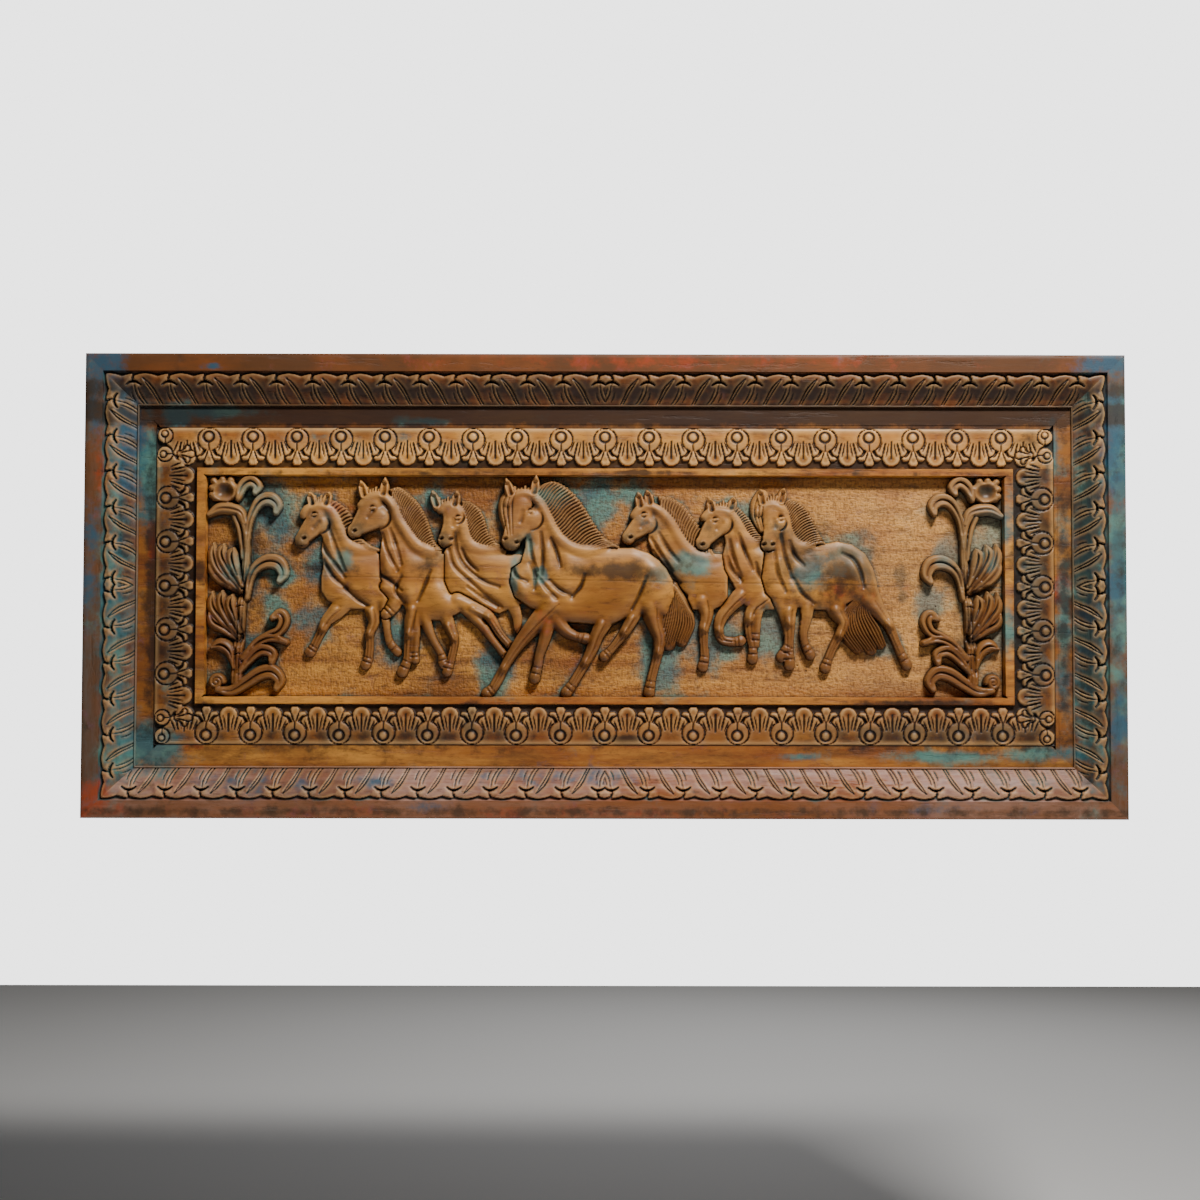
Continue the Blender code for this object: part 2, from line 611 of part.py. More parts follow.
def add_border_repeat(front, start, along_edge, inward, pitch, kind):
    """A disc at the outer edge with a tulip below it, and a fluted fan on its far side."""
    ground = BORDER_GROUND
    top = BORDER_GROUND + BORDER_RELIEF

    def spot(u, v):
        return start[0] + along_edge[0] * u + inward[0] * v, start[1] + along_edge[1] * u + inward[1] * v

    size = DISC_RADIUS if kind in ("plain", "lone") else DISC_RADIUS * CROWDED_DISC
    for radius, depth in ((size, ground + 0.15 * BORDER_RELIEF), (size - DISC_STEP, top)):
        angles = [k * math.pi / 3 for k in range(6)]
        ring = [spot(radius * math.sin(a), DISC_IN - radius * math.cos(a)) for a in angles]
        front.line(ring, depth, closed=True)
    front.point(*spot(0, DISC_IN), top)
    if kind == "corner":
        return
    tulip = ((0.17, 0.66, 1), (0, 0.92, 1), (0.08, 0.76, 0.3), (0, 0.63, 1))
    fan = ((0, 0.17, 0.85), (0, 0.58, 1), (0, 0.9, 1), (0.1, 0.41, 0.3), (0.18, 0.63, 1), (0.25, 0.85, 0))
    shapes = [(0, tulip)] if kind in ("lone", "crowded end") else [(0, tulip), (0.5, fan)]
    for middle, shape in shapes:
        for out, v, rise in shape:
            for u in {middle - out, middle + out}:
                front.point(*spot(u * pitch, v * BORDER_WIDTH), ground + rise * BORDER_RELIEF)


def carved_field():
    sheet = Sheet(SQUARE_STEP)
    carve_scroll(sheet, list)
    carve_scroll(sheet, mirrored)
    for horse in HORSES:
        carve_horse(sheet, horse)
    return sheet


def board_mesh():
    front = Front()
    front.line(rectangle(*BOARD_HALF), BAND_DEPTH, closed=True)
    front.line(rectangle(*BORDER_HALF), BAND_DEPTH, closed=True)
    front.line(rectangle(*(half - SLOPE for half in BORDER_HALF)), BORDER_GROUND, closed=True)
    for repeat in border_repeats():
        add_border_repeat(front, *repeat)
    front.line(rectangle(*(half + SLOPE for half in FILLET_HALF)), BORDER_GROUND, closed=True)
    front.line(rectangle(*FILLET_HALF), FILLET_DEPTH, closed=True)
    front.line(rectangle(*FIELD_HALF), FILLET_DEPTH, closed=True)
    half_x, half_z = (half - SLOPE for half in FIELD_HALF)
    front.line(rectangle(half_x, half_z), FIELD_DEPTH, closed=True)

    sheet = carved_field()
    rows, cols = sheet.height.shape
    square = 2 * half_x / SQUARES_LONG
    for i, j in fit_points(sheet, FIELD_POINTS):
        if 0 < i < cols - 1:
            x = half_x * (2 * i / (cols - 1) - 1)
            z = half_z * (2 * j / (rows - 1) - 1)
            front.point(x, z, FIELD_DEPTH + sheet.height[j, i] * square)

    verts, faces = front.triangles()
    edge = rectangle(*BOARD_HALF)
    tongue = rectangle(*(half + TONGUE_REACH for half in BOARD_HALF))
    loops = [[min(range(len(verts)), key=lambda k: math.dist(verts[k][:2], corner)) for corner in edge]]
    for corners, depth in ((edge, TONGUE_DEPTH), (tongue, TONGUE_DEPTH), (tongue, 0)):
        loops.append(range(len(verts), len(verts) + 4))
        verts += [(x, z, depth) for x, z in corners]
    for a, b in zip(loops, loops[1:]):
        faces += [[a[k - 1], a[k], b[k], b[k - 1]] for k in range(4)]
    faces.append(list(loops[-1]))
    return make_mesh("board", verts, faces)


def moulding_depth(share):
    """Depth of the carved slope at a share of its way from the outer flat to the lip."""
    high = RAIL_DEPTH - LEAF_STEP
    low = LIP_DEPTH - LIP_QUIRK
    fallen = float(np.interp(share, (0, 0.25, 0.55, 0.84, 1), (0, 0.05, 0.3, 0.83, 1)))
    return high - (high - low) * fallen


def rail_mesh(length, leaves):
    """A mitred rail along X; Z runs from its outer edge in to the board."""
    front = Front()
    half = length / 2 - GAP / 2 * math.sqrt(2)
    slope = RAIL_WIDTH - LIP_WIDTH - OUTER_FLAT

    def span(z):
        return half - z

    def across(z, depth):
        front.line([(-span(z), z), (span(z), z)], depth)

    across(0, RAIL_DEPTH - EDGE_BEVEL)
    across(EDGE_BEVEL, RAIL_DEPTH)
    across(RAIL_WIDTH - LIP_WIDTH, LIP_DEPTH - LIP_QUIRK)
    across(RAIL_WIDTH - 0.8 * LIP_WIDTH, LIP_DEPTH)
    across(RAIL_WIDTH, LIP_DEPTH)

    def to_mitres(places):
        """The same places, kept clear of the mitres, with one more on each mitre."""
        kept = [(x, z) for x, z in places if abs(x) < span(z) - LEAF_STEP]
        first, last = kept[0][1], kept[-1][1]
        return [(-span(first), first), *kept, (span(last), last)]

    start = -span(OUTER_FLAT)
    pitch = 2 * span(OUTER_FLAT) / leaves
    scallops = ((0, 0.09), (0.2, -0.03), (0.44, -0.03), (0.64, 0.09), (0.82, -0.01))
    places = [(start + (k + t) * pitch, OUTER_FLAT + slope * (share + 0.02))
              for k in range(leaves) for t, share in scallops]
    front.line(to_mitres(places), RAIL_DEPTH)
    places = [(x, z + 0.035 * slope) for x, z in places]
    foot = to_mitres(places)
    front.line(foot, [moulding_depth((z - OUTER_FLAT) / slope) for _, z in foot])
    crease_foot = ((-0.4, 0.91), (-0.18, 0.66), (0.14, 0.43), (0.34, 0.22))
    crease_brink = ((-0.34, 0.91), (0.4, 0.22))
    eye = 0.26
    for k in range(leaves):
        lean = -1 if k < leaves / 2 else 1
        middle = start + (k + 0.5) * pitch
        front.point(middle + 0.12 * lean * pitch, OUTER_FLAT + eye * slope, moulding_depth(eye) - LEAF_CUT)
        for crease, cut in ((crease_foot, LEAF_CUT), (crease_brink, 0)):
            line = [(middle + lean * t * pitch, OUTER_FLAT + share * slope) for t, share in crease]
            line = [(x, z) for x, z in line if abs(x) < span(z) - LEAF_STEP]
            if len(line) > 1:
                front.line(line, [moulding_depth((z - OUTER_FLAT) / slope) - cut for _, z in line])

    for side in (-1, 1):
        ends = [k for k, (x, z) in enumerate(front.points) if abs(side * x - span(z)) < NEAR]
        ends.sort(key=lambda k: front.points[k][1])
        front.edges += list(zip(ends, ends[1:]))
    verts, faces = front.triangles()

    def chain(test, order):
        """The front's corners on one of its four sides, in order."""
        found = [k for k, (x, z, _) in enumerate(verts) if abs(test(x, z)) < NEAR]
        return sorted(found, key=lambda k: verts[k][order])

    outer = chain(lambda x, z: z, 0)
    inner = chain(lambda x, z: z - RAIL_WIDTH, 0)
    mitres = [chain(lambda x, z: x + span(z), 1), chain(lambda x, z: x - span(z), 1)]
    rebate = RAIL_WIDTH - TONGUE_REACH
    section = ((0, 0), (rebate, 0), (rebate, TONGUE_DEPTH + GAP), (RAIL_WIDTH, TONGUE_DEPTH + GAP))
    left, right = (range(len(verts) + n, len(verts) + n + 4) for n in (0, 4))
    verts += [(side * span(z), z, depth) for side in (-1, 1) for z, depth in section]
    faces += [[*outer, right[0], left[0]], [*inner, right[3], left[3]]]
    for ends, corners in zip(mitres, (left, right)):
        faces.append([*ends, *reversed(corners)])
    faces += [[left[k], right[k], right[k + 1], left[k + 1]] for k in range(3)]
    return make_mesh("rail", verts, faces)


def build():
    for old in list(bpy.data.objects):
        bpy.data.objects.remove(old)
    panel = bpy.data.objects.new("wall_panel", None)
    bpy.context.scene.collection.objects.link(panel)
    board = board_mesh()
    rail = rail_mesh(PANEL_LENGTH, LEAVES_LONG)
    stile = rail_mesh(PANEL_HEIGHT, LEAVES_SHORT)
    for mesh in (board, rail, stile):
        mesh.materials.append(None)
    half_length = PANEL_LENGTH / 2
    half_height = PANEL_HEIGHT / 2
    quarter = math.pi / 2
    golden = wood("golden_brown_wood", (0.42, 0.2, 0.07), 0.5)
    rose = wood("rose_brown_wood", (0.24, 0.13, 0.1), 0.55)
    dark = wood("dark_brown_wood", (0.14, 0.06, 0.03), 0.5)
    blue = wood("blue_stained_wood", (0.13, 0.14, 0.17), 0.55)
    grey = wood("grey_brown_wood", (0.16, 0.12, 0.1), 0.55)
    place("carved_panel", board, golden, panel)
    place("frame_rail_bottom", rail, rose, panel, (0, 0, -half_height))
    place("frame_rail_top", rail, dark, panel, (0, 0, half_height), 2 * quarter)
    place("frame_stile_left", stile, blue, panel, (-half_length, 0, 0), quarter)
    place("frame_stile_right", stile, grey, panel, (half_length, 0, 0), -quarter)


if __name__ == "__main__":
    build()
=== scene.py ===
"""A wall panel of carved and stained wood, dressed over its solids.

Seven horses gallop between two flowering scrolls in a sunk field, round which run a carved border, a flat
band and a mitred frame with a leaf moulding. Each carved surface is worked out as a relief: heights over a
fine, regular sheet, built up from limbs, bodies, pressed hollows and cut lines, and then turned into faces.
Places on the figures are in drawing squares of about 1.76 mm, counted from the bottom left corner of the sunk
field, and so are their heights above it. Everything else is in metres: +Z is up, the front looks towards -Y,
and the origin is the middle of the back.
"""
import math
from functools import lru_cache

import bpy
import numpy as np
from bpy.props import FloatProperty, FloatVectorProperty, IntProperty, PointerProperty
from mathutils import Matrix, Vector


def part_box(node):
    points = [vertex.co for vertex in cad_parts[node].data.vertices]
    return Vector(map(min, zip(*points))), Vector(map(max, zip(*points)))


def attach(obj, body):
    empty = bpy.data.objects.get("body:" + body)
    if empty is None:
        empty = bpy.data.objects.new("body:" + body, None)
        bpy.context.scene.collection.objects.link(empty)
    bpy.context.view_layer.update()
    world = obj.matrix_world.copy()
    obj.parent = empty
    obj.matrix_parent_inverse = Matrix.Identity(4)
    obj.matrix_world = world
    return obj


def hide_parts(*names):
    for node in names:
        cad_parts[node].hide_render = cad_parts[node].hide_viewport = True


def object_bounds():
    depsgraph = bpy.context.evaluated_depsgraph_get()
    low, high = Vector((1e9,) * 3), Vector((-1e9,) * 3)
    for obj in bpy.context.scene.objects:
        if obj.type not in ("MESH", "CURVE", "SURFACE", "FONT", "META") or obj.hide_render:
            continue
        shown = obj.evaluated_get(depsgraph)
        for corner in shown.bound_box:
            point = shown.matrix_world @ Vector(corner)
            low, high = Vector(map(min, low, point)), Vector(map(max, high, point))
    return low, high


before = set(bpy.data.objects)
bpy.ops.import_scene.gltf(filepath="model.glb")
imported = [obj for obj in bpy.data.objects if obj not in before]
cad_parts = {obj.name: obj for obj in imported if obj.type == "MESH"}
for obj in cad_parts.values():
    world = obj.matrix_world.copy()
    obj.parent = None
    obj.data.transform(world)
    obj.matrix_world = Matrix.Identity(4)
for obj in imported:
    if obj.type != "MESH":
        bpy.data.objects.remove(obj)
CAD_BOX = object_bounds()

bl_info = {
    "name": "Carved Horse Panel",
    "version": (1, 0, 0),
    "blender": (4, 5, 0),
    "location": "View3D > Sidebar > Carved Panel",
    "description": "Carves and stains a wall panel with seven horses in relief",
    "category": "Object",
}

# the solids that the frame gives
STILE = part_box("frame_stile_left")
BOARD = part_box("carved_panel")
HALF_LENGTH = CAD_BOX[1][0]
HALF_HEIGHT = CAD_BOX[1][2]
RAIL_DEPTH = -CAD_BOX[0][1]
RAIL_WIDTH = STILE[1].x - STILE[0].x
GAP = 0.0003

# plain strips and the frame's hidden rebate
STRIP_STEP = 0.006
WORN_LIP = 0.006
WORN_DEPTH = 0.0008
EDGE_BEVEL = 0.003
REBATE_WIDTH = 0.0083
REBATE_DEPTH = 0.0223

# drawing squares
SQUARES_LONG = 801
SQUARES_HIGH = 225
STEEP = 6
BURIED = -1.0
FAR = 1e3


# Curves
def curve(points, per_span=5):
    """Smooth curve through the points; any further columns are carried along."""
    p = np.asarray(points, float)
    if len(p) < 3:
        return p
    before = np.vstack([2 * p[0] - p[1], p[:-1]])[:-1]
    after = np.vstack([p[1:], 2 * p[-1] - p[-2]])[1:]
    start, end = p[:-1], p[1:]
    rows = []
    for t in np.arange(per_span) / per_span:
        bend = (2 * before - 5 * start + 4 * end - after) * t**2
        turn = (3 * start - before - 3 * end + after) * t**3
        rows.append(0.5 * (2 * start + (end - before) * t + bend + turn))
    return np.vstack([np.stack(rows, 1).reshape(-1, p.shape[1]), p[-1:]])


def at(points, t):
    """Place on a line of points at the fraction t of its length."""
    p = np.asarray(points, float)
    run = np.concatenate([[0], np.cumsum(np.hypot(*np.diff(p[:, :2], axis=0).T))])
    return np.array([np.interp(t * run[-1], run, column) for column in p.T])


def length_of(points):
    return float(np.hypot(*np.diff(np.asarray(points, float)[:, :2], axis=0).T).sum())


def along(gx, gz, a, b):
    """Fraction of the way from a to b, and distance from that line, at each place."""
    dx, dz = b[0] - a[0], b[1] - a[1]
    t = np.clip(((gx - a[0]) * dx + (gz - a[1]) * dz) / max(dx * dx + dz * dz, 1e-12), 0, 1)
    return t, np.hypot(gx - a[0] - t * dx, gz - a[1] - t * dz)


# Reliefs
class Relief:
    """Heights over a regular sheet, and how far each place lies outside what is carved there."""

    def __init__(self, x, z, steep=STEEP):
        self.x = x
        self.z = z
        self.steep = steep
        self.height = np.full((len(z), len(x)), 3 * BURIED)
        self.outside = np.full((len(z), len(x)), FAR)
        self.combed = np.zeros((len(z), len(x)))

    def part(self, points, reach):
        p = np.asarray(points, float)
        i0, i1 = np.searchsorted(self.x, (p[:, 0].min() - reach, p[:, 0].max() + reach))
        j0, j1 = np.searchsorted(self.z, (p[:, 1].min() - reach, p[:, 1].max() + reach))
        gx, gz = np.meshgrid(self.x[i0:i1], self.z[j0:j1])
        return (slice(j0, j1), slice(i0, i1)), gx, gz

    def add(self, part, out, foot, raised):
        """Raised inside, and falling steeply from foot outside."""
        height = np.where(out < 0, raised, foot - out * self.steep)
        self.height[part] = np.maximum(self.height[part], height)
        self.outside[part] = np.minimum(self.outside[part], out)

    def ridge(self, stations, foot, top, fullness=2.2):
        """A limb through stations of x, z, half width and, where it rises or dips, that rise."""
        line = curve(stations)
        for a, b in zip(line, line[1:]):
            part, gx, gz = self.part([a, b], max(a[2], b[2]) + 4)
            if gx.size:
                t, away = along(gx, gz, a, b)
                half = a[2] + t * (b[2] - a[2])
                rise = a[3] + t * (b[3] - a[3]) if len(a) > 3 else 0
                swell = np.clip(1 - (away / half)**fullness, 0, 1)**(1 / fullness)
                self.add(part, away - half, foot, foot + (top + rise - foot) * swell)

    def disc(self, x, z, radius, foot, top, fullness=2.2):
        self.ridge([(x, z, radius), (x + 0.01, z, radius)], foot, top, fullness)

    def pillow(self, outline, foot, top, reach):
        """A body inside an outline, rounded over near its edge."""
        part, gx, gz = self.part(outline, 4)
        if not gx.size:
            return
        away = np.full(gx.shape, FAR)
        inside = np.zeros(gx.shape, bool)
        for a, b in zip(outline, np.roll(outline, -1, 0)):
            away = np.minimum(away, along(gx, gz, a, b)[1])
            if a[1] != b[1]:
                cross = (a[1] > gz) != (b[1] > gz)
                inside ^= cross & (gx < (b[0] - a[0]) * (gz - a[1]) / (b[1] - a[1]) + a[0])
        swell = np.sqrt(1 - (1 - np.clip(away / reach, 0, 1))**2)
        self.add(part, np.where(inside, -away, away), foot, foot + (top - foot) * swell)

    def press(self, points, half, rise, softness=1):
        """A soft muscle where rise is over 0, a hollow or a cut line where it is under 0."""
        line = curve(points)
        part, gx, gz = self.part(line, half)
        if not gx.size:
            return
        away = np.full(gx.shape, FAR)
        for a, b in zip(line, line[1:]):
            away = np.minimum(away, along(gx, gz, a, b)[1])
        push = rise * np.clip(1 - (away / half)**2, 0, 1)**softness
        self.height[part] += np.where(self.outside[part] < 0, push, 0)

    def soften(self, radius):
        """Blend the forms into each other, but leave the outline as it is."""
        inside = (self.outside < 0).astype(float)
        share = np.maximum(blur(inside, radius), 1e-6)
        self.height = np.where(inside > 0, blur(self.height * inside, radius) / share, self.height)

    def tuck_under(self, others):
        """Where another figure stands in front, this one dives under its edge."""
        room = np.clip(others - 0.3, 0, None) * self.steep * 1.6 + BURIED
        kept = np.where(others > 0, np.maximum(room, 0.62 * self.height), BURIED)
        self.height = np.minimum(self.height, kept)


def blur(field, radius):
    """Mean over a square patch, twice."""
    for _ in range(2):
        for axis in (0, 1):
            pad = [(radius + 1, radius) if k == axis else (0, 0) for k in (0, 1)]
            total = np.cumsum(np.pad(field, pad, mode="edge"), axis)
            width = 2 * radius + 1
            ahead = np.take(total, range(width, total.shape[axis]), axis)
            behind = np.take(total, range(total.shape[axis] - width), axis)
            field = (ahead - behind) / width
    return field


def hollows_and_ridges(height, radius, depth):
    """How deep each place lies in a hollow, and how much it stands proud, from 0 to 1."""
    lift = height - blur(height, radius)
    return np.clip(-lift / depth, 0, 1), np.clip(lift / depth, 0, 1)


def tilt_up(height, step):
    """How far each place leans up and to the right, towards the light, below 0 where it leans away."""
    across = blur(height, 2)
    return -(np.gradient(across, axis=0) + 0.4 * np.gradient(across, axis=1)) / step


# The horses from back to front. Levels are the heights of the outline and of the middle; crest is the smooth
# band from the forehead over the poll down to the withers, and poll counts its points before the mane starts.
HORSES = {
    "first": dict(
        levels=(3.5, 9.5), poll=3,
        face=[(111, 184, 8), (103, 172, 7.5), (95, 159, 6.5)],
        cheek=(113, 175, 10.5), muzzle=(95.5, 158.5, 7.6),
        eye=(108, 184, 1), nostrils=[(98, 160.5)], mouth=[(91, 154), (97, 152.5), (103, 154)],
        ears=[((106, 194), (103, 205)), ((119, 194), (122, 205))],
        body=[(119, 193), (126, 182), (132, 168), (139, 156), (150, 149), (178, 144), (178, 96),
              (164, 89), (139, 89), (121, 98), (115, 108), (115, 121), (117, 133), (115, 148),
              (116, 160), (110, 176)],
        crest=[(97, 184), (101, 190), (111, 193), (120, 191), (127, 184), (132, 172), (136, 163),
               (141, 155), (151, 149.5), (166, 147)],
        mane=[(125, 200), (139, 191), (147, 180), (151, 168), (157, 158), (167, 151), (177, 147)],
        strands=19,
        cords=[
            [(122, 172), (130, 150), (139, 128)],
            [(114, 160), (119, 148), (130, 133), (139, 121)],
            [(117, 138), (127, 122), (141, 110)],
            [(139, 110), (152, 99), (163, 92)],
        ],
        muscles=[([(150, 125), (158, 118)], 22, 1.4), ([(128, 160), (124, 140)], 8, 1)],
        legs=[
            [(178, 108, 7), (179, 88, 5), (181, 70, 3.6), (184, 56, 4), (192, 46, 4.4)],
            [(165, 104, 9, 1), (166, 88, 7.5), (168, 76, 5.4), (164, 64, 4.4), (164, 52, 3.8), (163, 41, 4.4),
             (160, 33, 5)],
            [(140, 98, 10, 1), (131, 88, 8.4), (121, 78, 6), (117, 70, 5), (112, 60, 4.2), (108, 52, 4.4),
             (104, 46, 5.4)],
        ],
    ),
    "third": dict(
        levels=(4, 10), poll=3,
        face=[(246, 187, 9), (243, 173, 6), (240, 160, 7)],
        cheek=(251, 182, 8), muzzle=(240, 159, 8),
        eye=(252.5, 181, 1), nostrils=[(236, 160.5), (245.5, 160)], mouth=[(236, 154), (241, 152),
                                                                           (246, 154)],
        ears=[((231, 192), (227, 206)), ((249, 193), (251, 206))],
        body=[(254, 186), (257, 166), (265, 154), (278, 148), (318, 144), (318, 96), (294, 85),
              (279, 91), (264, 99), (249, 102), (238, 111), (238, 146), (244, 156), (242, 176)],
        crest=[(235.6, 189), (241, 193.5), (249, 193), (254.5, 186), (256.5, 176), (258.5, 165), (264, 155),
               (275.5, 149), (296, 148)],
        mane=[(256, 199), (265, 197), (274, 190), (279, 179), (282, 167), (291, 156), (303, 150)],
        strands=25,
        cords=[
            [(249, 166), (252, 146), (262, 130), (278, 118), (294, 112)],
            [(243, 150), (249, 132), (264, 118), (280, 104), (296, 92)],
            [(256, 150), (262, 138), (272, 128)],
            [(262, 112), (276, 102), (292, 92)],
        ],
        muscles=[([(276, 134), (300, 120)], 20, 1.2), ([(252, 128), (274, 108)], 10, 1.2)],
        legs=[
            [(301, 122, 9, 1), (306, 100, 7.5), (312, 82, 5), (313, 70, 4), (320, 63, 5)],
        ],
    ),
    "second": dict(
        levels=(5, 11.5), poll=4,
        face=[(165, 195, 10), (158, 181, 9), (150, 169, 7)],
        cheek=(173, 181, 12), muzzle=(149, 168, 8.2),
        eye=(166.5, 190.5, 1.2), nostrils=[(149, 168)], mouth=[(146, 161.5), (152, 161), (158, 163.5)],
        ears=[((158, 202), (155, 216)), ((177, 203), (179, 219))],
        body=[(172, 202), (182, 191), (190, 177), (198, 161), (208, 150), (224, 145), (238, 145),
              (238, 118), (243, 106), (255, 96), (256, 87), (249, 83), (234, 78), (214, 78),
              (201, 92), (189, 97), (179, 106), (175, 121), (174, 144), (176, 161), (170, 181)],
        crest=[(155, 193), (162, 201), (170.5, 203.5), (180, 201), (187, 192), (192, 180), (199, 169),
               (206, 159), (213, 152.5), (222, 148.5), (231, 146)],
        mane=[(183, 210), (193, 212), (203, 205), (212, 196), (219, 184), (224, 171), (228, 158),
              (236, 149)],
        strands=31,
        cords=[
            [(176, 165), (182, 146), (192, 128)],
            [(184, 170), (190, 154), (196, 134)],
            [(174, 124), (184, 118), (196, 108)],
            [(196, 122), (190, 108), (199, 96)],
            [(225, 128), (219, 112), (213, 98)],
        ],
        muscles=[([(204, 132), (200, 112)], 15, 1.6), ([(232, 104), (240, 94)], 14, 1.2),
                 ([(181, 150), (183, 130)], 6, 1.2), ([(191, 150), (190, 132)], 5, 1)],
        legs=[
            [(211, 84, 5), (211, 60, 3.4), (210, 46, 3.4), (210, 38, 4.2)],
            [(252, 98, 8, 1), (269, 90, 6.8), (284, 82, 5.2), (294, 66, 4), (304, 54, 4), (311, 48, 5)],
            [(260, 90, 6), (276, 74, 4.8), (288, 58, 3.6), (299, 44, 3.8), (304, 37, 4.8)],
            [(218, 86, 7), (222, 72, 5.2), (228, 58, 4), (236, 44, 4), (238, 34, 4.8)],
            [(239, 86, 7.5), (244, 72, 6), (249, 60, 4.4), (248, 48, 3.8), (245, 36, 4.2), (242, 26, 5)],
            [(180, 112, 6), (190, 101, 7), (186, 90, 6.5), (180, 84, 5)],
            [(205, 104, 11, 1.5), (208, 88, 8), (206, 76, 7.5), (204, 64, 5.4), (203, 50, 4.2),
             (202, 38, 4.4),
             (197, 26, 5.6)],
        ],
    ),
    "fifth": dict(
        levels=(4, 10), poll=3,
        face=[(440, 184, 8), (432, 172, 7.5), (424, 162, 6.4)],
        cheek=(443, 175, 10), muzzle=(424, 161.5, 7),
        eye=(439.5, 184.5, 1), nostrils=[(426, 162)], mouth=[(419, 156), (425, 154.5), (431, 156)],
        ears=[((436, 192), (434, 205)), ((446, 195), (443, 207))],
        body=[(449, 194), (457, 187), (466, 176), (474, 163), (484, 151), (499, 143), (524, 140),
              (524, 96), (509, 89), (484, 89), (484, 104), (470, 118), (459, 130), (449, 145),
              (444, 159), (444, 176)],
        crest=[(430, 184), (436, 191), (446, 193), (456, 188), (465, 178), (472.5, 165), (478.5, 155.5),
               (486, 148), (499, 141.5), (520, 140)],
        mane=[(454, 204), (467, 202), (480, 194), (487, 184), (495, 173), (500, 161), (508, 148)],
        strands=24,
        cords=[
            [(447, 161), (456, 146), (468, 128)],
            [(455, 166), (464, 150), (474, 138)],
            [(449, 148), (461, 130), (476, 116)],
        ],
        muscles=[([(492, 128), (512, 118)], 20, 1.2), ([(452, 156), (460, 140)], 5, 1)],
        legs=[
            [(496, 112, 12, 1), (500, 98, 9.5), (503, 84, 6.4), (500, 70, 5.2), (500, 56, 4), (501, 43, 4.4),
             (499, 32, 5.4)],
        ],
    ),
    "sixth": dict(
        levels=(5, 11), poll=3,
        face=[(516, 184, 9), (507, 171, 8.5), (500, 158, 7)],
        cheek=(518, 175, 11), muzzle=(499, 156.5, 8),
        eye=(511, 179.5, 1.1), nostrils=[(498.5, 155)], mouth=[(494, 149.5), (500, 148), (507, 150)],
        ears=[((508, 188), (506, 199)), ((527, 190), (530, 200))],
        body=[(525, 185), (534, 176), (538, 164), (546, 157), (566, 154), (584, 144), (594, 134),
              (594, 92), (564, 89), (542, 93), (534, 106), (527, 119), (521, 130), (519, 144),
              (522, 156), (519, 171)],
        crest=[(501, 182), (507, 188), (517, 189.5), (526, 186), (533, 176.5), (538, 166.5), (544, 158.5),
               (554, 155)],
        mane=[(530, 196), (538, 189), (546, 180), (553, 170), (559, 161), (565, 154)],
        strands=19,
        cords=[
            [(526, 159), (529, 143), (537, 122)],
            [(535, 165), (541, 148), (549, 130)],
            [(524, 142), (528, 130), (538, 118)],
            [(552, 136), (556, 124), (566, 116)],
        ],
        muscles=[([(556, 136), (574, 126)], 15, 1.2), ([(532, 150), (536, 130)], 6, 1)],
        legs=[
            [(556, 96, 6), (554, 80, 4), (553, 66, 3.6), (552, 54, 4)],
            [(576, 112, 12, 1), (562, 100, 10), (550, 90, 7), (546, 80, 5.6), (546, 66, 4.2), (549, 52, 4.2),
             (549, 40, 5.4)],
            [(552, 114, 11, 1), (538, 104, 9), (526, 92, 6.6), (517, 80, 6), (515, 68, 4.6), (519, 59, 4.4),
             (530, 57, 4.6), (537, 58, 5.4)],
        ],
    ),
    "seventh": dict(
        levels=(6, 12.5), poll=3,
        locks=[[(556, 204, 4), (552, 194, 4.6), (552, 182, 4), (556, 170, 2.6)]],
        face=[(568, 187, 9.5), (567, 172, 7), (565, 158, 6.4)],
        cheek=(575, 176, 8), muzzle=(565, 154.5, 8.2),
        eye=(577, 181, 1.1), nostrils=[(560.2, 155), (569, 155)], mouth=[(561, 149), (565, 147.5),
                                                                         (570, 149)],
        ears=[((559, 195), (557, 208)), ((577, 197), (580, 209))],
        body=[(577, 191), (581, 174), (587, 161), (596, 152), (606, 150), (619, 155), (634, 158),
              (649, 155), (662, 146), (670, 131), (674, 116), (674, 100), (662, 95), (650, 99),
              (639, 93), (624, 89), (607, 90), (589, 93), (572, 96), (562, 106), (558, 121),
              (560, 136), (562, 151), (564, 176)],
        crest=[(555, 187), (560.5, 193), (570, 195), (578.5, 190), (581.5, 180), (583, 170), (587, 161),
               (595, 153.5), (608, 152.5)],
        mane=[(582, 200), (594, 198), (604, 189), (610, 178), (615, 167), (622, 156)],
        strands=23,
        cords=[
            [(571, 148), (574, 126), (582, 108)],
            [(577, 165), (581, 144), (588, 122)],
            [(586, 158), (591, 144), (600, 134)],
            [(639, 146), (650, 140), (657, 126), (660, 112)],
            [(590, 120), (598, 106), (610, 96)],
        ],
        muscles=[([(656, 130), (662, 112)], 13, 1.5), ([(600, 128), (596, 112)], 14, 1.2),
                 ([(628, 124), (634, 120)], 18, 1), ([(574, 138), (578, 120)], 5, 1.2)],
        legs=[
            [(576, 100, 8), (581, 84, 5.6), (584, 68, 4.2), (584, 54, 4), (578, 42, 5.4)],
            [(604, 96, 7.5), (603, 80, 5.4), (600, 66, 4.2), (602, 54, 4.2), (607, 44, 5.2)],
            [(588, 104, 10, 1), (586, 88, 7), (586, 76, 6), (586, 62, 4.6), (586, 48, 4.2), (586, 34, 5.6)],
            [(659, 112, 15, 1.5), (668, 98, 11), (678, 85, 7), (686, 74, 5.4), (692, 60, 4.2), (698, 46, 4.4),
             (704, 34, 5.4)],
            [(630, 104, 14, 1), (634, 88, 9), (640, 76, 5.6), (636, 64, 4.6), (629, 50, 4), (625, 40, 4.2),
             (622, 31, 5.4)],
        ],
        tail=[
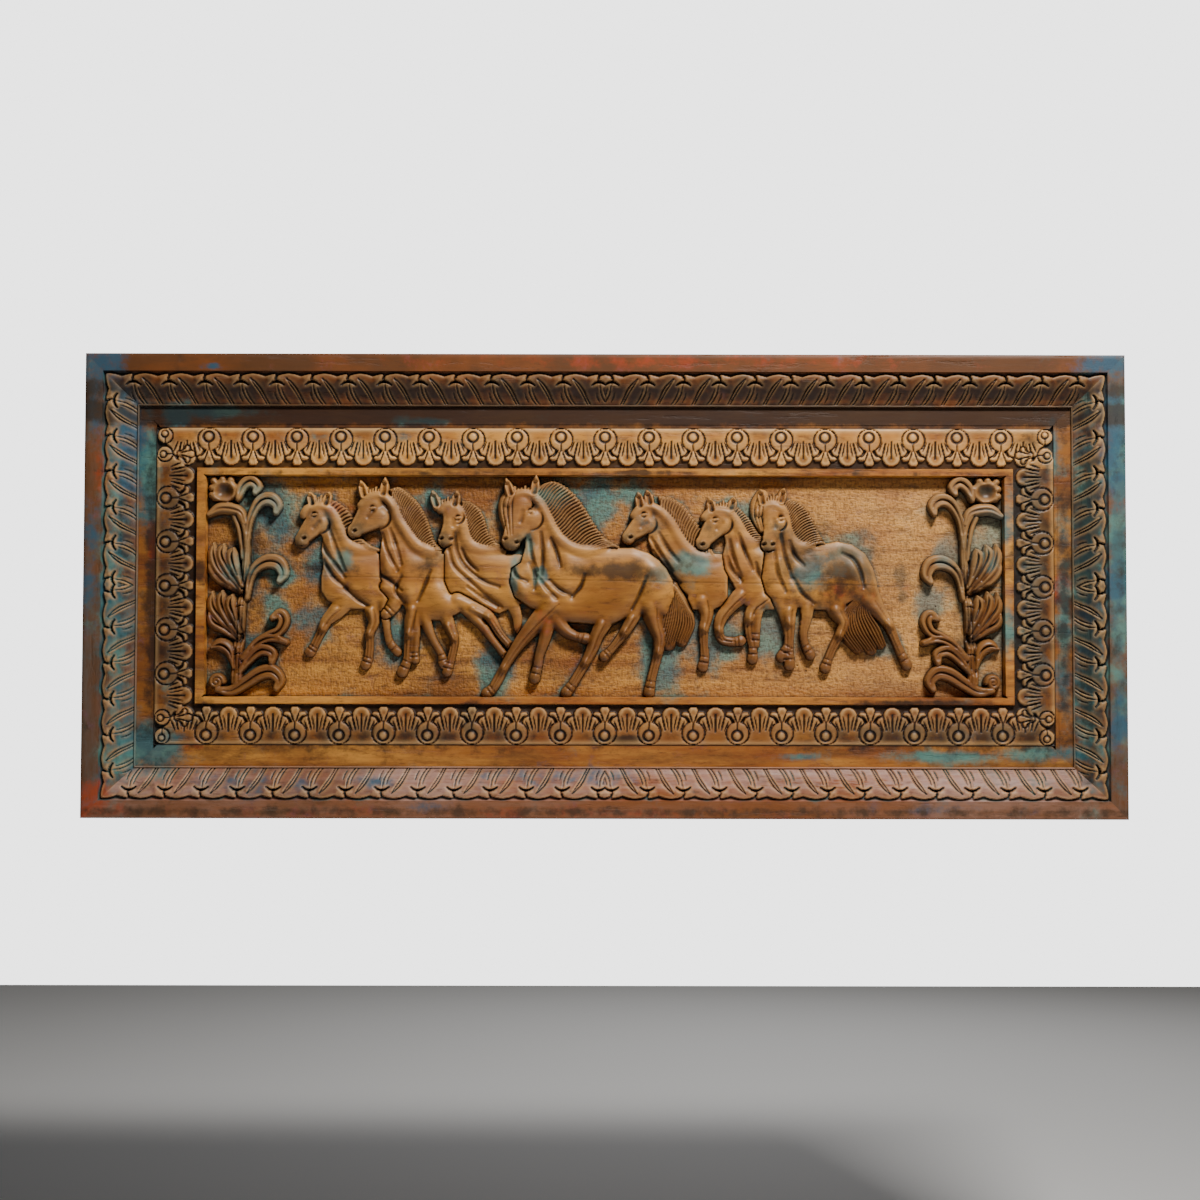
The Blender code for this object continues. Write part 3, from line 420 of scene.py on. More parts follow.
            [(657, 104, 4), (645, 88, 6), (643, 68, 8), (655, 50, 5)],
            [(660, 104, 4), (652, 86, 7), (656, 68, 9), (668, 50, 6)],
            [(662, 102, 4), (662, 86, 6), (670, 70, 7), (678, 54, 4)],
        ],
        tail_strands=13,
    ),
    "fourth": dict(
        levels=(7, 15), poll=3,
        locks=[[(304, 206, 4), (299.5, 197, 5), (299, 187, 5), (301, 175, 4), (303, 164, 3)]],
        face=[(316, 195, 11), (311, 177, 9.6), (306, 160, 8.6)],
        cheek=(326, 180, 12.5), muzzle=(306, 158, 10),
        eye=(325.5, 187.5, 1.2), nostrils=[(312, 156.5), (300.5, 160)], mouth=[(300, 150), (308, 148),
                                                                               (315, 151)],
        ears=[((306, 203), (301.5, 218)), ((329, 204), (331, 221))],
        body=[(334, 201), (344, 188), (350, 171), (358, 157), (372, 149), (399, 151), (429, 151),
              (444, 146), (454, 139), (462, 130), (468, 119), (470, 104), (462, 84), (444, 83),
              (431, 88), (424, 82), (409, 75), (394, 74), (374, 76), (356, 77), (342, 83),
              (324, 92), (310, 102), (305, 116), (307, 130), (316, 136), (320, 151), (321, 166),
              (324, 186)],
        crest=[(302, 196), (308, 203), (318, 206), (327.5, 203.5), (336, 194), (343, 180), (349, 168.5),
               (356.5, 159), (368, 151.5), (382, 148.5), (400, 150)],
        mane=[(337, 214), (348, 218), (358, 214), (368, 206), (377, 195), (385, 182), (392, 170),
              (401, 160), (414, 152)],
        strands=31,
        cords=[
            [(336, 166), (338, 146), (337, 124)],
            [(325, 158), (327, 142), (332, 128)],
            [(346, 160), (352, 146), (356, 132)],
            [(308, 131), (312, 122), (322, 117)],
            [(325, 136), (330, 124), (330, 110)],
            [(333, 122), (342, 110), (352, 100)],
            [(345, 118), (356, 108), (366, 104)],
            [(442, 122), (436, 106), (428, 90)],
            [(380, 124), (376, 112), (368, 102)],
        ],
        muscles=[([(366, 128), (352, 104)], 18, 1.6), ([(446, 126), (452, 104)], 17, 1.8),
                 ([(400, 116), (420, 112)], 26, 1.2), ([(314, 120), (318, 108)], 8, 1.6),
                 ([(329, 148), (331, 134)], 6, 1.2), ([(342, 150), (345, 132)], 6, 1.2),
                 ([(336, 118), (342, 106)], 7, 1.4)],
        legs=[
            [(434, 96, 8), (428, 80, 6.4), (420, 66, 5.2), (411, 54, 4), (405, 47, 4.2), (400, 42, 5.2)],
            [(403, 88, 11, 0.5), (398, 74, 8.4), (392, 62, 6.8), (388, 50, 6), (381, 36, 4.8), (374, 24, 4.6),
             (368, 14, 4.8), (362, 6, 5.6)],
            [(446, 110, 17, 1.5), (448, 90, 12, 0.5), (451, 74, 8), (455, 60, 6), (454, 46, 5),
             (450, 30, 4.4),
             (447, 18, 4.6), (445, 6, 5.6)],
            [(343, 76, 8), (340, 60, 6), (335, 44, 4.8), (333, 32, 4.6), (330, 20, 5.6)],
            [(346, 88, 10), (354, 76, 7.4), (362, 67, 6), (372, 62, 4.6), (381, 60, 5.6)],
            [(364, 110, 15, 1.5), (350, 94, 12, 1), (334, 78, 9.6, 0.5), (322, 64, 7.6), (314, 54, 6.2),
             (306, 42, 5), (299, 30, 4.6), (294, 20, 5), (288, 10, 4.8), (282, 5, 5.4)],
        ],
        tail=[
            [(468, 116, 3), (463, 98, 5), (458, 78, 6), (454, 56, 5)],
            [(470, 114, 4), (472, 98, 6), (470, 78, 9), (464, 56, 8)],
            [(472, 112, 3), (480, 94, 5), (484, 76, 7), (478, 58, 6)],
        ],
        tail_strands=16,
    ),
}


# The flowering scroll at the left; the right one is its mirror
SCROLL = dict(
    levels=(4.5, 10.5),
    stem=[(31, 16, 6), (31, 34, 6), (33, 60, 5), (35, 90, 4.6), (38, 120, 4), (40, 150, 3.6),
          (38, 171, 3.3), (32, 184, 3)],
    joints=[(32, 44), (34, 92), (36, 104)],
    side_stem=[(36, 140, 2), (32, 168, 2.6), (27, 182, 3)],
    curls=[
        [(40, 148, 2.6), (42, 174, 3.4), (47, 189, 4.6), (54, 198, 6.2), (63, 200, 7), (70, 194, 5.6),
         (69, 186, 3)],
        [(41, 100, 2.6), (44, 120, 4), (50, 131, 5.6), (61, 137, 7.4), (72, 135, 7.4), (77, 125, 5.6),
         (73, 117, 3.2)],
        [(37, 40, 3), (50, 54, 4.6), (62, 62, 4.6), (73, 67, 5), (78, 77, 5.8), (74, 84, 5.6), (66, 80, 3)],
        [(38, 40, 2.6), (52, 55, 3.6), (66, 60, 4), (80, 56, 3.4)],
        [(34, 26, 3), (46, 41, 5), (56, 48, 6), (66, 45, 5.4), (66, 36, 3.4)],
        [(12, 8, 3.4), (26, 7, 5.6), (40, 15, 6.4), (54, 24, 7.4), (66, 26, 7.4), (74, 18, 5.6),
         (71, 9, 3.4)],
    ],
    leaves=[
        [(35, 104), (17, 118), (8, 128), (3, 140)],
        [(35, 106), (14, 126), (7, 142), (7, 155)],
        [(35, 108), (21, 130), (15, 144), (17, 154)],
        [(36, 112), (28, 130), (25, 142), (27, 150)],
        [(32, 58), (18, 70), (8, 76), (3, 85)],
        [(33, 60), (15, 80), (7, 92), (6, 106)],
        [(33, 62), (20, 82), (15, 96), (16, 107)],
        [(34, 66), (27, 84), (24, 94), (26, 103)],
        [(28, 30), (24, 46), (15, 53), (5, 50)],
    ],
    cup=[(5, 198), (2, 203), (5, 207), (2, 212), (5, 216), (4, 221), (10, 219), (15, 223), (19, 219),
         (25, 222),
         (28, 216), (33, 212), (31, 202), (20, 196)],
    cup_middle=(17, 207),
    petal=[(31, 200, 3), (35, 212, 5.6), (43, 218, 6.4), (50, 213, 5.4), (48, 206, 3)],
    calyx=[(2, 184, 3), (12, 190, 6), (24, 190, 6.4), (34, 186, 4.6), (38, 176, 3)],
    volute=(11, 16, 9.5),
)


# Carving the figures
def carve_horse(horse, sheet):
    foot, top = horse["levels"]
    for leg in horse["legs"]:
        sheet.ridge(sunk_towards_hoof(leg), 0.5 * foot, top - 2, 2)
    sheet.pillow(np.array(horse["body"], float), foot, top - 1.4, 14)
    for line, half, rise in horse["muscles"]:
        sheet.press(line, 1.2 * half, 1.8 * rise, 2)
    for cord in horse["cords"]:
        sheet.press(cord, 6.5, -1.3, 1)
    crest = horse["crest"]
    places = (0, horse["poll"], len(crest) - 2, len(crest) - 1)
    widths = np.interp(np.arange(len(crest)), places, (4.2, 4.8, 7, 5))
    rises = np.interp(np.arange(len(crest)), places, (0, 0, -0.5, -3))
    band = [(x, z - 0.5 * (w - 4.4), w, r) for (x, z), w, r in zip(crest, widths, rises)]
    sheet.ridge(band, foot + 1, top, 2)
    shape_head(horse, sheet, foot, top + 0.4)
    sheet.soften(2)
    smooth = sheet.height.copy()
    carve_mane(horse, sheet, foot, top - 3)
    if "tail" in horse:
        carve_tail(horse, sheet, 0.5 * foot, foot + 1.5)
    sheet.combed[sheet.height > smooth] = 1
    for leg in horse["legs"]:
        trim_leg(leg, sheet)
    for cord in horse["cords"]:
        cut_line(sheet, cord, 3.6, 1.7)
    carve_face(horse, sheet)
    carve_ears(horse, sheet, foot, top)


def cut_line(sheet, line, half, depth):
    """A carver's line: deepest in its middle and running out at both ends."""
    stations = curve(line)
    for k, (a, b) in enumerate(zip(stations, stations[1:])):
        share = math.sin(math.pi * (k + 0.5) / (len(stations) - 1))
        sheet.press([a[:2], b[:2]], half * (0.5 + 0.5 * share), -depth * 0.35 * share)
    sheet.press(line, half * 0.7, -depth * 0.65, 1)


def sunk_towards_hoof(leg):
    """The leg's stations, each a little lower than the one before."""
    return [(x, z, half, (rise[0] if rise else 0) - 1.4 * k / len(leg))
            for k, (x, z, half, *rise) in enumerate(leg)]


def trim_leg(leg, sheet):
    """A knee, and cuts round the fetlock and above the hoof."""
    (x0, z0), (x1, z1) = leg[-2][:2], leg[-1][:2]
    reach = math.hypot(x1 - x0, z1 - z0)
    ax, az = (z1 - z0) / reach, -(x1 - x0) / reach
    half = leg[-1][2]
    for share, depth in ((0.1, 1.2), (0.6, 1.6)):
        mx, mz = x0 + share * (x1 - x0), z0 + share * (z1 - z0)
        sheet.press([(mx - half * ax, mz - half * az), (mx + half * ax, mz + half * az)], 1.3, -depth)
    if len(leg) > 5:
        x, z, width = leg[-4][:3]
        sheet.press([(x, z)] * 2, width * 1.3, 2.8, 2)
        cut_line(sheet, [(px + 0.3 * width, pz) for px, pz, *_ in leg[-4:-1]], 1.4, 1.2)
        cut_line(sheet, [(px - 0.45 * width, pz) for px, pz, *_ in leg[-4:-1]], 1.2, 0.9)
        upper = [(px, pz, w) for px, pz, w, *_ in leg[1:-3]]
        if len(upper) > 1:
            sheet.press([(px - 0.25 * w, pz) for px, pz, w in upper], 0.8 * upper[0][2], 2.4, 2)
            cut_line(sheet, [(px + 0.35 * w, pz) for px, pz, w in upper], 1.7, 1.3)


def carve_mane(horse, sheet, foot, top):
    """Combed strands from the crest out to the edge of the mane, over a lower bed."""
    roots = horse["crest"][horse["poll"]:]
    edge = horse["mane"]
    bed = np.vstack([curve(roots, 3), curve(edge, 3)[::-1]])
    sheet.pillow(bed, foot - 1, top - 2.2, 3)
    count = horse["strands"]
    half = 0.5 * length_of(edge) / count
    for k in range(count):
        t = (k + 0.3) / count
        root = at(roots, 0.94 * t)
        tip = at(edge, min(t + 0.05, 1))
        way = tip - root
        side = np.array([-way[1], way[0]])
        line = [(*root, half)]
        for share, bend in ((0.3, 0.02), (0.55, 0.07), (0.8, 0.06)):
            line.append((*(root + share * way + bend * side), half * (1.05 - 0.1 * share)))
        line.append((*(tip + 0.01 * math.sin(2.3 * k) * way), half * 0.6))
        sheet.ridge(line, foot - 2, top + 0.7 + 0.3 * math.sin(1.7 * k), 1.5)


def carve_tail(horse, sheet, foot, top):
    """A fall of hair from behind the thigh: strands drawn between the first and the last lock."""
    for lock in horse["tail"]:
        sheet.ridge(lock, foot, top - 2, 2)
    count = horse["tail_strands"]
    for k in range(count):
        share = k / (count - 1) * (len(horse["tail"]) - 0.2) - 0.4
        i = int(np.clip(share, 0, len(horse["tail"]) - 2))
        a, b = (np.array([p[:2] for p in horse["tail"][n]], float) for n in (i, i + 1))
        line = a + (b - a) * (share - i)
        line[-1] += (line[-1] - line[-2]) * 0.12 * (1 + math.sin(2.1 * k))
        sheet.ridge([(*p, h) for p, h in zip(line, (0.9, 1.3, 1.5, 0.9))], foot - 2, top + 0.8, 1.5)


def shape_head(horse, sheet, foot, top):
    """The long face, the round cheek, the muzzle and the brow."""
    sheet.ridge(horse["face"], foot + 2, top + 0.6, 2.2)
    x, z, radius = horse["cheek"]
    sheet.disc(x, z, 0.86 * radius, foot + 2, top + 0.8, 2.6)
    mx, mz, mouth = horse["muzzle"]
    sheet.disc(mx, mz, 0.95 * mouth, foot + 1, top + 0.8, 2)
    jaw = [(x, z, 0.82 * radius), ((x + mx) / 2, (z + mz) / 2, 0.5 * (0.8 * radius + 0.7 * mouth)),
           (mx, mz, 0.7 * mouth)]
    sheet.ridge(jaw, foot + 2, top + 0.4, 2.6)
    sheet.ridge([(x, z, 3) for x, z in horse["crest"][:horse["poll"] + 1]], foot + 2, top + 0.8, 2.2)


def carve_face(horse, sheet):
    """Eye, nostrils, mouth and jaw."""
    x, z, size = horse["eye"]
    sheet.press([(x, z), (x + 0.1, z)], 5 * size, -1.5, 2)
    sheet.press([(x - 1.4, z - 0.4), (x + 1.4, z + 0.2)], 2.4 * size, 2, 1)
    cut_line(sheet, [(x - 3.4, z - 0.4), (x - 0.6, z + 2.2), (x + 3.2, z + 1.2)], 1.2, 1.6)
    cut_line(sheet, [(x - 3, z - 1), (x, z - 2.2), (x + 3, z - 0.6)], 1, 1)
    for x, z in horse["nostrils"]:
        sheet.press([(x - 0.6, z - 0.4), (x + 0.6, z + 0.4)], 2.2, -3)
        sheet.press([(x - 1.6, z + 1.8), (x + 1.8, z + 1.6)], 1.6, 0.8)
    cut_line(sheet, horse["mouth"], 1.4, 2.2)
    x, z, radius = horse["cheek"]
    jaw = ring_of(x, z, 0.94 * radius, 25)
    cut_line(sheet, jaw[18:25] + jaw[1:3], 1.8, 1.1)
    (x0, z0), (x1, z1) = horse["face"][0][:2], horse["face"][-1][:2]
    sheet.press([(x0 + 2, z0 - 8), ((x0 + x1) / 2 + 5, (z0 + z1) / 2)], 4, -1.2, 2)


def carve_ears(horse, sheet, foot, top):
    """Two pointed ears with their hollows, the forelock between them and any locks beside the face."""
    (left, _), (right, _) = horse["ears"]
    for k in range(8):
        share = (k + 0.5) / 8
        x = left[0] + (right[0] - left[0]) * share
        z = left[1] + (right[1] - left[1]) * share
        lean = 5 * (share - 0.35)
        tuft = [(x, z - 4, 1.5), (x + lean * 0.4, z + 2, 1.6), (x + lean, z + 8 + 1.5 * math.sin(2 * k), 0.9)]
        sheet.ridge(tuft, foot - 1, top - 0.8, 1.6)
    for lock in horse.get("locks", ()):
        sheet.ridge([(x + 2.5, z, 1.7 * half) for x, z, half in lock], 0.5 * foot, top - 3, 2)
        for share in (-0.2, 0.7, 1.6):
            cut_line(sheet, [(x + share * half, z) for x, z, half in lock], 1.1, 1.5)
    for root, tip in horse["ears"]:
        way = 1.15 * (np.array(tip) - np.array(root))
        tip = np.array(root) + way
        middle = np.array(root) + 0.4 * way
        sheet.ridge([(*root, 4), (*middle, 4.8), (*(middle + 0.35 * way), 3.2), (*tip, 0.9)], foot, top + 0.8,
                    2.2)
        sheet.press([np.array(root) + 0.12 * way, np.array(root) + 0.66 * way], 3, -5, 1)


def carve_scroll(sheet, turn):
    foot, top = SCROLL["levels"]
    sheet.ridge(turn(SCROLL["side_stem"]), foot, top - 2)
    sheet.ridge(turn(SCROLL["stem"]), foot, top)
    for line in SCROLL["leaves"]:
        carve_leaf_finger(sheet, turn([(x, z, half) for (x, z), half in zip(line, (2.2, 6.4, 7.2, 1.4))]),
                          foot, top)
    for line in SCROLL["curls"]:
        carve_curl(sheet, turn(line), foot, top)
    for share in (-0.4, 0.35):
        cut_line(sheet, turn([(x + share * half, z) for x, z, half in SCROLL["stem"][:6]]), 1.3, 1.5)
    for x, z in SCROLL["joints"]:
        cut_line(sheet, turn([(x - 4, z - 1), (x, z + 0.5), (x + 4, z)]), 1.2, 1.4)
    carve_flower(sheet, turn, foot, top)
    x, z, radius = SCROLL["volute"]
    turns = [(0.55 * i, (radius - 2.4) * (1 - i / 23)) for i in range(21)]
    spiral = [(x + r * math.cos(a), z + r * math.sin(a), 2.5) for a, r in turns]
    sheet.ridge(turn(spiral), foot, top, 2)


def carve_leaf_finger(sheet, blade, foot, top):
    """One finger of a leaf: a blunt blade with a sunk vein, cut off from its neighbours."""
    sheet.press([p[:2] for p in blade], 8, -3.2, 1)
    sheet.ridge(blade, foot - 1, top - 0.2, 1.8)
    cut_line(sheet, curve([p[:2] for p in blade])[3:-1], 1.6, 1.7)


def carve_curl(sheet, line, foot, top):
    """A leaf that turns over into a hook, dished along its middle and lipped round its edge."""
    stations = curve(line)
    sheet.ridge(line, foot, top + 0.4, 3)
    sheet.press(stations[4:-3, :2], 0.8 * stations[:, 2].max(), -1.2, 1)
    way = np.gradient(stations[:, :2], axis=0)
    side = np.stack([-way[:, 1], way[:, 0]], 1) / np.maximum(np.hypot(*way.T), 1e-6)[:, None]
    for share in (-0.7, 0.7):
        sheet.press((stations[:, :2] + side * stations[:, 2:3] * share)[3:-1], 1.5, 0.3)
    cut_line(sheet, stations[2:-4, :2], 1.5, 1.3)


def carve_flower(sheet, turn, foot, top):
    """A ruffled, hollow cup in its calyx, with one petal folded over."""
    outline = SCROLL["cup"]
    x, z = SCROLL["cup_middle"]
    sheet.pillow(np.array(turn(outline), float), foot, top, 4)
    for px, pz in outline[1:-2:2]:
        sheet.ridge(turn([(px + 0.2 * (x - px), pz + 0.2 * (z - pz), 4), (0.5 * (px + x), 0.5 * (pz + z),
                                                                          2)]),
                    foot, top + 0.3, 1.8)
    sheet.press(turn([(x - 1, z), (x + 1, z)]), 9, -6, 1)
    sheet.ridge(turn(SCROLL["calyx"]), foot, top + 1.2, 2)
    cut_line(sheet, turn([p[:2] for p in SCROLL["calyx"]]), 2, 1.6)
    carve_curl(sheet, turn(SCROLL["petal"]), foot, top + 0.6)


@lru_cache(maxsize=None)
def carved_field(step):
    """Every figure's relief over the sunk field, the front ones first, and the whole of them together."""
    x = np.arange(0, SQUARES_LONG + step / 2, step)
    z = np.arange(0, SQUARES_HIGH + step / 2, step)
    figures = {}
    in_front = np.full((len(z), len(x)), FAR)
    for name in reversed(HORSES):
        sheet = Relief(x, z)
        carve_horse(HORSES[name], sheet)
        own_outside = sheet.outside.copy()
        sheet.tuck_under(in_front)
        in_front = np.minimum(in_front, own_outside)
        figures[f"{name}_horse"] = sheet
    for name, turn in (("left_scroll", list), ("right_scroll", mirrored)):
        sheet = Relief(x, z)
        carve_scroll(sheet, turn)
        figures[name] = sheet
    whole = np.maximum.reduce([sheet.height for sheet in figures.values()])
    return x, z, figures, np.maximum(whole, 0)


def mirrored(points):
    return [(SQUARES_LONG - p[0], *p[1:]) for p in points]


# The carved border, in millimetres
DISC_SIZE = 19.5
DISC_CLEAR = 2
CROWDED = 0.67


def border_repeats(half, long_repeats, short_repeats):
    """Each repeat's way of placing u along and v in from the border's edge, its pitch and its form."""
    length, height = half
    crowded = CROWDED * DISC_SIZE
    long_pitch = (length - crowded - DISC_CLEAR) / long_repeats
    short_pitch = (height - DISC_SIZE - DISC_CLEAR - 2 * crowded) / short_repeats
    for side in (-1, 1):
        for k in range(-long_repeats, long_repeats + 1):
            def spot(u, v, middle=k * long_pitch, side=side):
                return middle + u, side * (height - v)
            yield spot, long_pitch, abs(k) == long_repeats, abs(k) < long_repeats, k < long_repeats
        for k in range(-short_repeats, short_repeats + 1):
            def spot(u, v, middle=k * short_pitch, side=side):
                return side * (length - v), middle + u
            yield spot, short_pitch, abs(k) == short_repeats, True, k < short_repeats


def ring_of(x, z, radius, count=30):
    return [(x + radius * math.cos(a), z + radius * math.sin(a)) for a in np.linspace(0, 2 * math.pi, count)]


def both_ways(half_outline):
    """An outline from its right half, as (u, v) places from top to bottom."""
    return half_outline + [(-u, v) for u, v in half_outline[::-1]]


def carve_disc(sheet, spot, size):
    """A collar with a round boss sunk in it, off its middle."""
    middle = size + DISC_CLEAR
    sheet.disc(*spot(0, middle), size, 2.5, 6.6, 5)
    x, z = spot(-0.05 * size, middle - 0.24 * size)
    ring = ring_of(x, z, 0.47 * size)
    for a, b in zip(ring, ring[1:]):
        sheet.press([a, b], 0.13 * size, -1.3)
    sheet.disc(x, z, 0.36 * size, 4.5, 8, 2.2)
    cut_line(sheet, [spot(-0.03 * size, middle + 0.36 * size), spot(0, middle + 1.05 * size)], 1.7, 3)


def carve_tulip(sheet, spot, pitch, small):
    """A small flower below the disc: a neck, two side petals and a tongue."""
    wide = pitch * (0.75 if small else 1) / 78
    half = [(4.6, 37), (6.4, 43), (12, 48.5), (19.5, 52), (21, 54.5), (18, 58), (12, 58.5), (9, 58),
            (8.5, 63), (5, 67.5)]
    outline = both_ways([(u * wide, v) for u, v in half])
    sheet.pillow(np.array([spot(u, v) for u, v in outline]), 2, 7, 5)
    for side in (-1, 1):
        cut_line(sheet, [spot(side * u * wide, v) for u, v in ((2, 41), (4.5, 49), (8, 59))], 2, 3.4)
        cut_line(sheet, [spot(side * u * wide, v) for u, v in ((7, 45), (12, 50), (16, 53))], 1.6, 1.6)
    sheet.press([spot(0, 58), spot(0, 62)], 6, -1, 1)


def carve_fan(sheet, spot, pitch):
    """A fluted shell between two discs, its tongue hanging to the inner edge."""
    wide = pitch / 78
    half = [(38, 0.6), (38, 30), (30, 36), (28.5, 42), (25, 48.5), (19, 51), (16, 51.5), (15.5, 57),
            (11, 63.5), (4, 67)]
    outline = both_ways([(u * wide, v) for u, v in half])
    sheet.pillow(np.array([spot(pitch / 2 + u, v) for u, v in outline]), 1.8, 6.2, 3.5)

    def flute(*places, half=1.8, depth=2.6):
        for side in (-1, 1):
            cut_line(sheet, [spot(pitch / 2 + side * u * wide, v) for u, v in places], half, depth)

    flute((0.1, 24), (0.1, 40), (0.2, 54), half=2.2, depth=2)
    flute((5, 28), (7, 40), (9.5, 51))
    flute((10.5, 27), (13, 38), (16.5, 52), half=2.2, depth=4)
    flute((16, 26), (20, 35), (23, 43), half=1.9)
    sheet.press([spot(pitch / 2, 56), spot(pitch / 2, 62)], 9, -1.4, 1)


def border_sheet(x, z, repeats):
    """Relief of one strip of the border: discs and tulips in front, fans behind them."""
    front, back = Relief(x, z, steep=4), Relief(x, z, steep=4)
    for spot, pitch, small, has_tulip, has_fan in repeats:
        if has_tulip:
            carve_tulip(front, spot, pitch, small)
        carve_disc(front, spot, DISC_SIZE * (CROWDED if small else 1))
        if has_fan:
            carve_fan(back, spot, pitch)
    back.tuck_under(front.outside - 0.7)
    return np.maximum(front.height, back.height)


# The leaf moulding: u runs along the rail and v in from the frame's outer edge
def slope_depth(v, flat, lip):
    """Depth of the carved slope between the outer flat and the lip."""
    share = (v - flat) / (RAIL_WIDTH - lip - flat)
    fallen = np.interp(share, (0, 0.12, 0.25, 0.4, 0.55, 0.7, 0.84, 1), (0, 0.02, 0.06, 0.16, 0.31, 0.56,
                                                                         0.82, 1))
    return RAIL_DEPTH - 0.004 - 0.022 * fallen


def moulding_relief(half, leaves, flat, lip, step):
    """Cuts in the slope, in millimetres; every leaf leans away from the middle of its rail."""
    reach = 1000 * (half - flat)
    u = np.linspace(0, reach, int(reach / step / 1000) + 1)
    v = np.linspace(1000 * flat, 1000 * (RAIL_WIDTH - lip), int((RAIL_WIDTH - lip - flat) / step) + 1)
    gu, gv = np.meshgrid(u, v)
    sheet = Relief(u, v)
    pitch = 2 * reach / leaves
    share = (gu / pitch + NOTCH) % 1
    big, small = share / 0.68, (share - 0.68) / 0.32
    rim = np.where(big < 1, 39.4 - 5 * np.sin(np.pi * np.clip(big, 0, 1)),
                   35 + 4.6 * np.clip(small, 0, 1)**1.5)
    rim = rim + 6 * np.clip(1 - np.abs(share - 0.68) / 0.035, 0, 1)
    inside = np.clip((gv - rim) / 1.2, 0, 1)
    swell = 1.3 * np.sin(np.pi * np.clip((gv - rim) / 26, 0, 1))
    sheet.height = -4.2 * (1 - inside) + swell * inside
    sheet.outside[:] = -1
    for k in range(leaves // 2 + 2):
        carve_leaf(sheet, (k - NOTCH + 0.68) * pitch, pitch)
    both = np.concatenate([sheet.height[:, :0:-1], sheet.height], 1)
    return np.concatenate([-u[:0:-1], u]), v, both


NOTCH = 0.5


def carve_leaf(sheet, notch, lean):
    """The cuts of one leaf about its crescent notch."""
    def line(*points):
        return [(notch + share * lean, v) for share, v in points]

    sheet.press(line((-0.6, 74), (-0.42, 58), (-0.3, 48)), 5, 1.4, 2)
    sheet.press(line((-0.12, 72), (-0.1, 60)), 8, 0.8, 2)
    cut_line(sheet, line((-0.78, 89), (-0.67, 76), (-0.56, 62), (-0.42, 51), (-0.28, 43.5)), 1.9, 3.4)
    cut_line(sheet, line((-0.71, 89), (-0.6, 76), (-0.49, 64), (-0.38, 54), (-0.28, 44)), 1.9, 3.4)
    cut_line(sheet, line((-0.36, 88), (-0.25, 79), (-0.17, 69), (-0.13, 60)), 1.7, 2.4)
    cut_line(sheet, line((-0.27, 89), (-0.14, 78), (-0.05, 66), (-0.02, 52)), 1.7, 3)
    cut_line(sheet, line((-0.02, 82), (0.04, 75), (0.07, 67)), 1.6, 2)
    cut_line(sheet, line((-0.2, 54.5), (-0.1, 50.5), (0, 49), (0.1, 50.5), (0.19, 54.5)), 3, 5.5)
    cut_line(sheet, line((0.01, 50), (0.03, 44), (0, 38)), 2.2, 4)
    sheet.press(line((-0.16, 44), (-0.1, 44)), 6, 0.9, 2)
    sheet.press(line((0.13, 44), (0.2, 44)), 6, 0.9, 2)


# Faces
class Skin:
    """Four-sided faces from any number of grids, with painted values at their corners."""

    def __init__(self, name):
        self.name = name
        self.places = []
        self.faces = []
        self.paint = {key: [] for key in PAINTS}
        self.count = 0

    def grid(self, places, keep=None, hollow=0.0, proud=0.0, aged=0.0, washed=0.0):
        """Places by row and column; the faces look to the left of a row's way when it runs to its right."""
        rows, cols = places.shape[:2]
        corner = np.arange(rows * cols).reshape(rows, cols)
        quads = np.stack([corner[:-1, :-1], corner[:-1, 1:], corner[1:, 1:], corner[1:, :-1]], -1)
        quads = quads[keep] if keep is not None else quads.reshape(-1, 4)
        used, renumbered = np.unique(quads, return_inverse=True)
        flat = places.reshape(-1, 3)[used]
        self.places.append(flat)
        self.faces.append(renumbered.reshape(-1, 4) + self.count)
        self.count += len(used)
        values = stains_at(flat)
        for key, value in (("hollow", hollow), ("proud", proud), ("aged", aged), ("blue", washed)):
            values[key] = values.get(key, 0) + np.broadcast_to(value, (rows, cols)).reshape(-1)[used]
        for key, value in values.items():
            self.paint[key].append(value)

    def make(self, material, *stands_for, smooth=True):
        mesh = bpy.data.meshes.new(self.name)
        mesh.from_pydata(np.vstack(self.places).tolist(), [], np.vstack(self.faces).tolist())
        for key, values in self.paint.items():
            layer = mesh.attributes.new(key, "FLOAT", "POINT")
            layer.data.foreach_set("value", np.concatenate(values).astype(np.float32))
        mesh.materials.append(material)
        if smooth:
            mesh.shade_smooth()
        piece = bpy.data.objects.new(self.name, mesh)
        bpy.context.scene.collection.objects.link(piece)
        if stands_for:
            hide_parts(*stands_for)
        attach(piece, "root")
        return piece


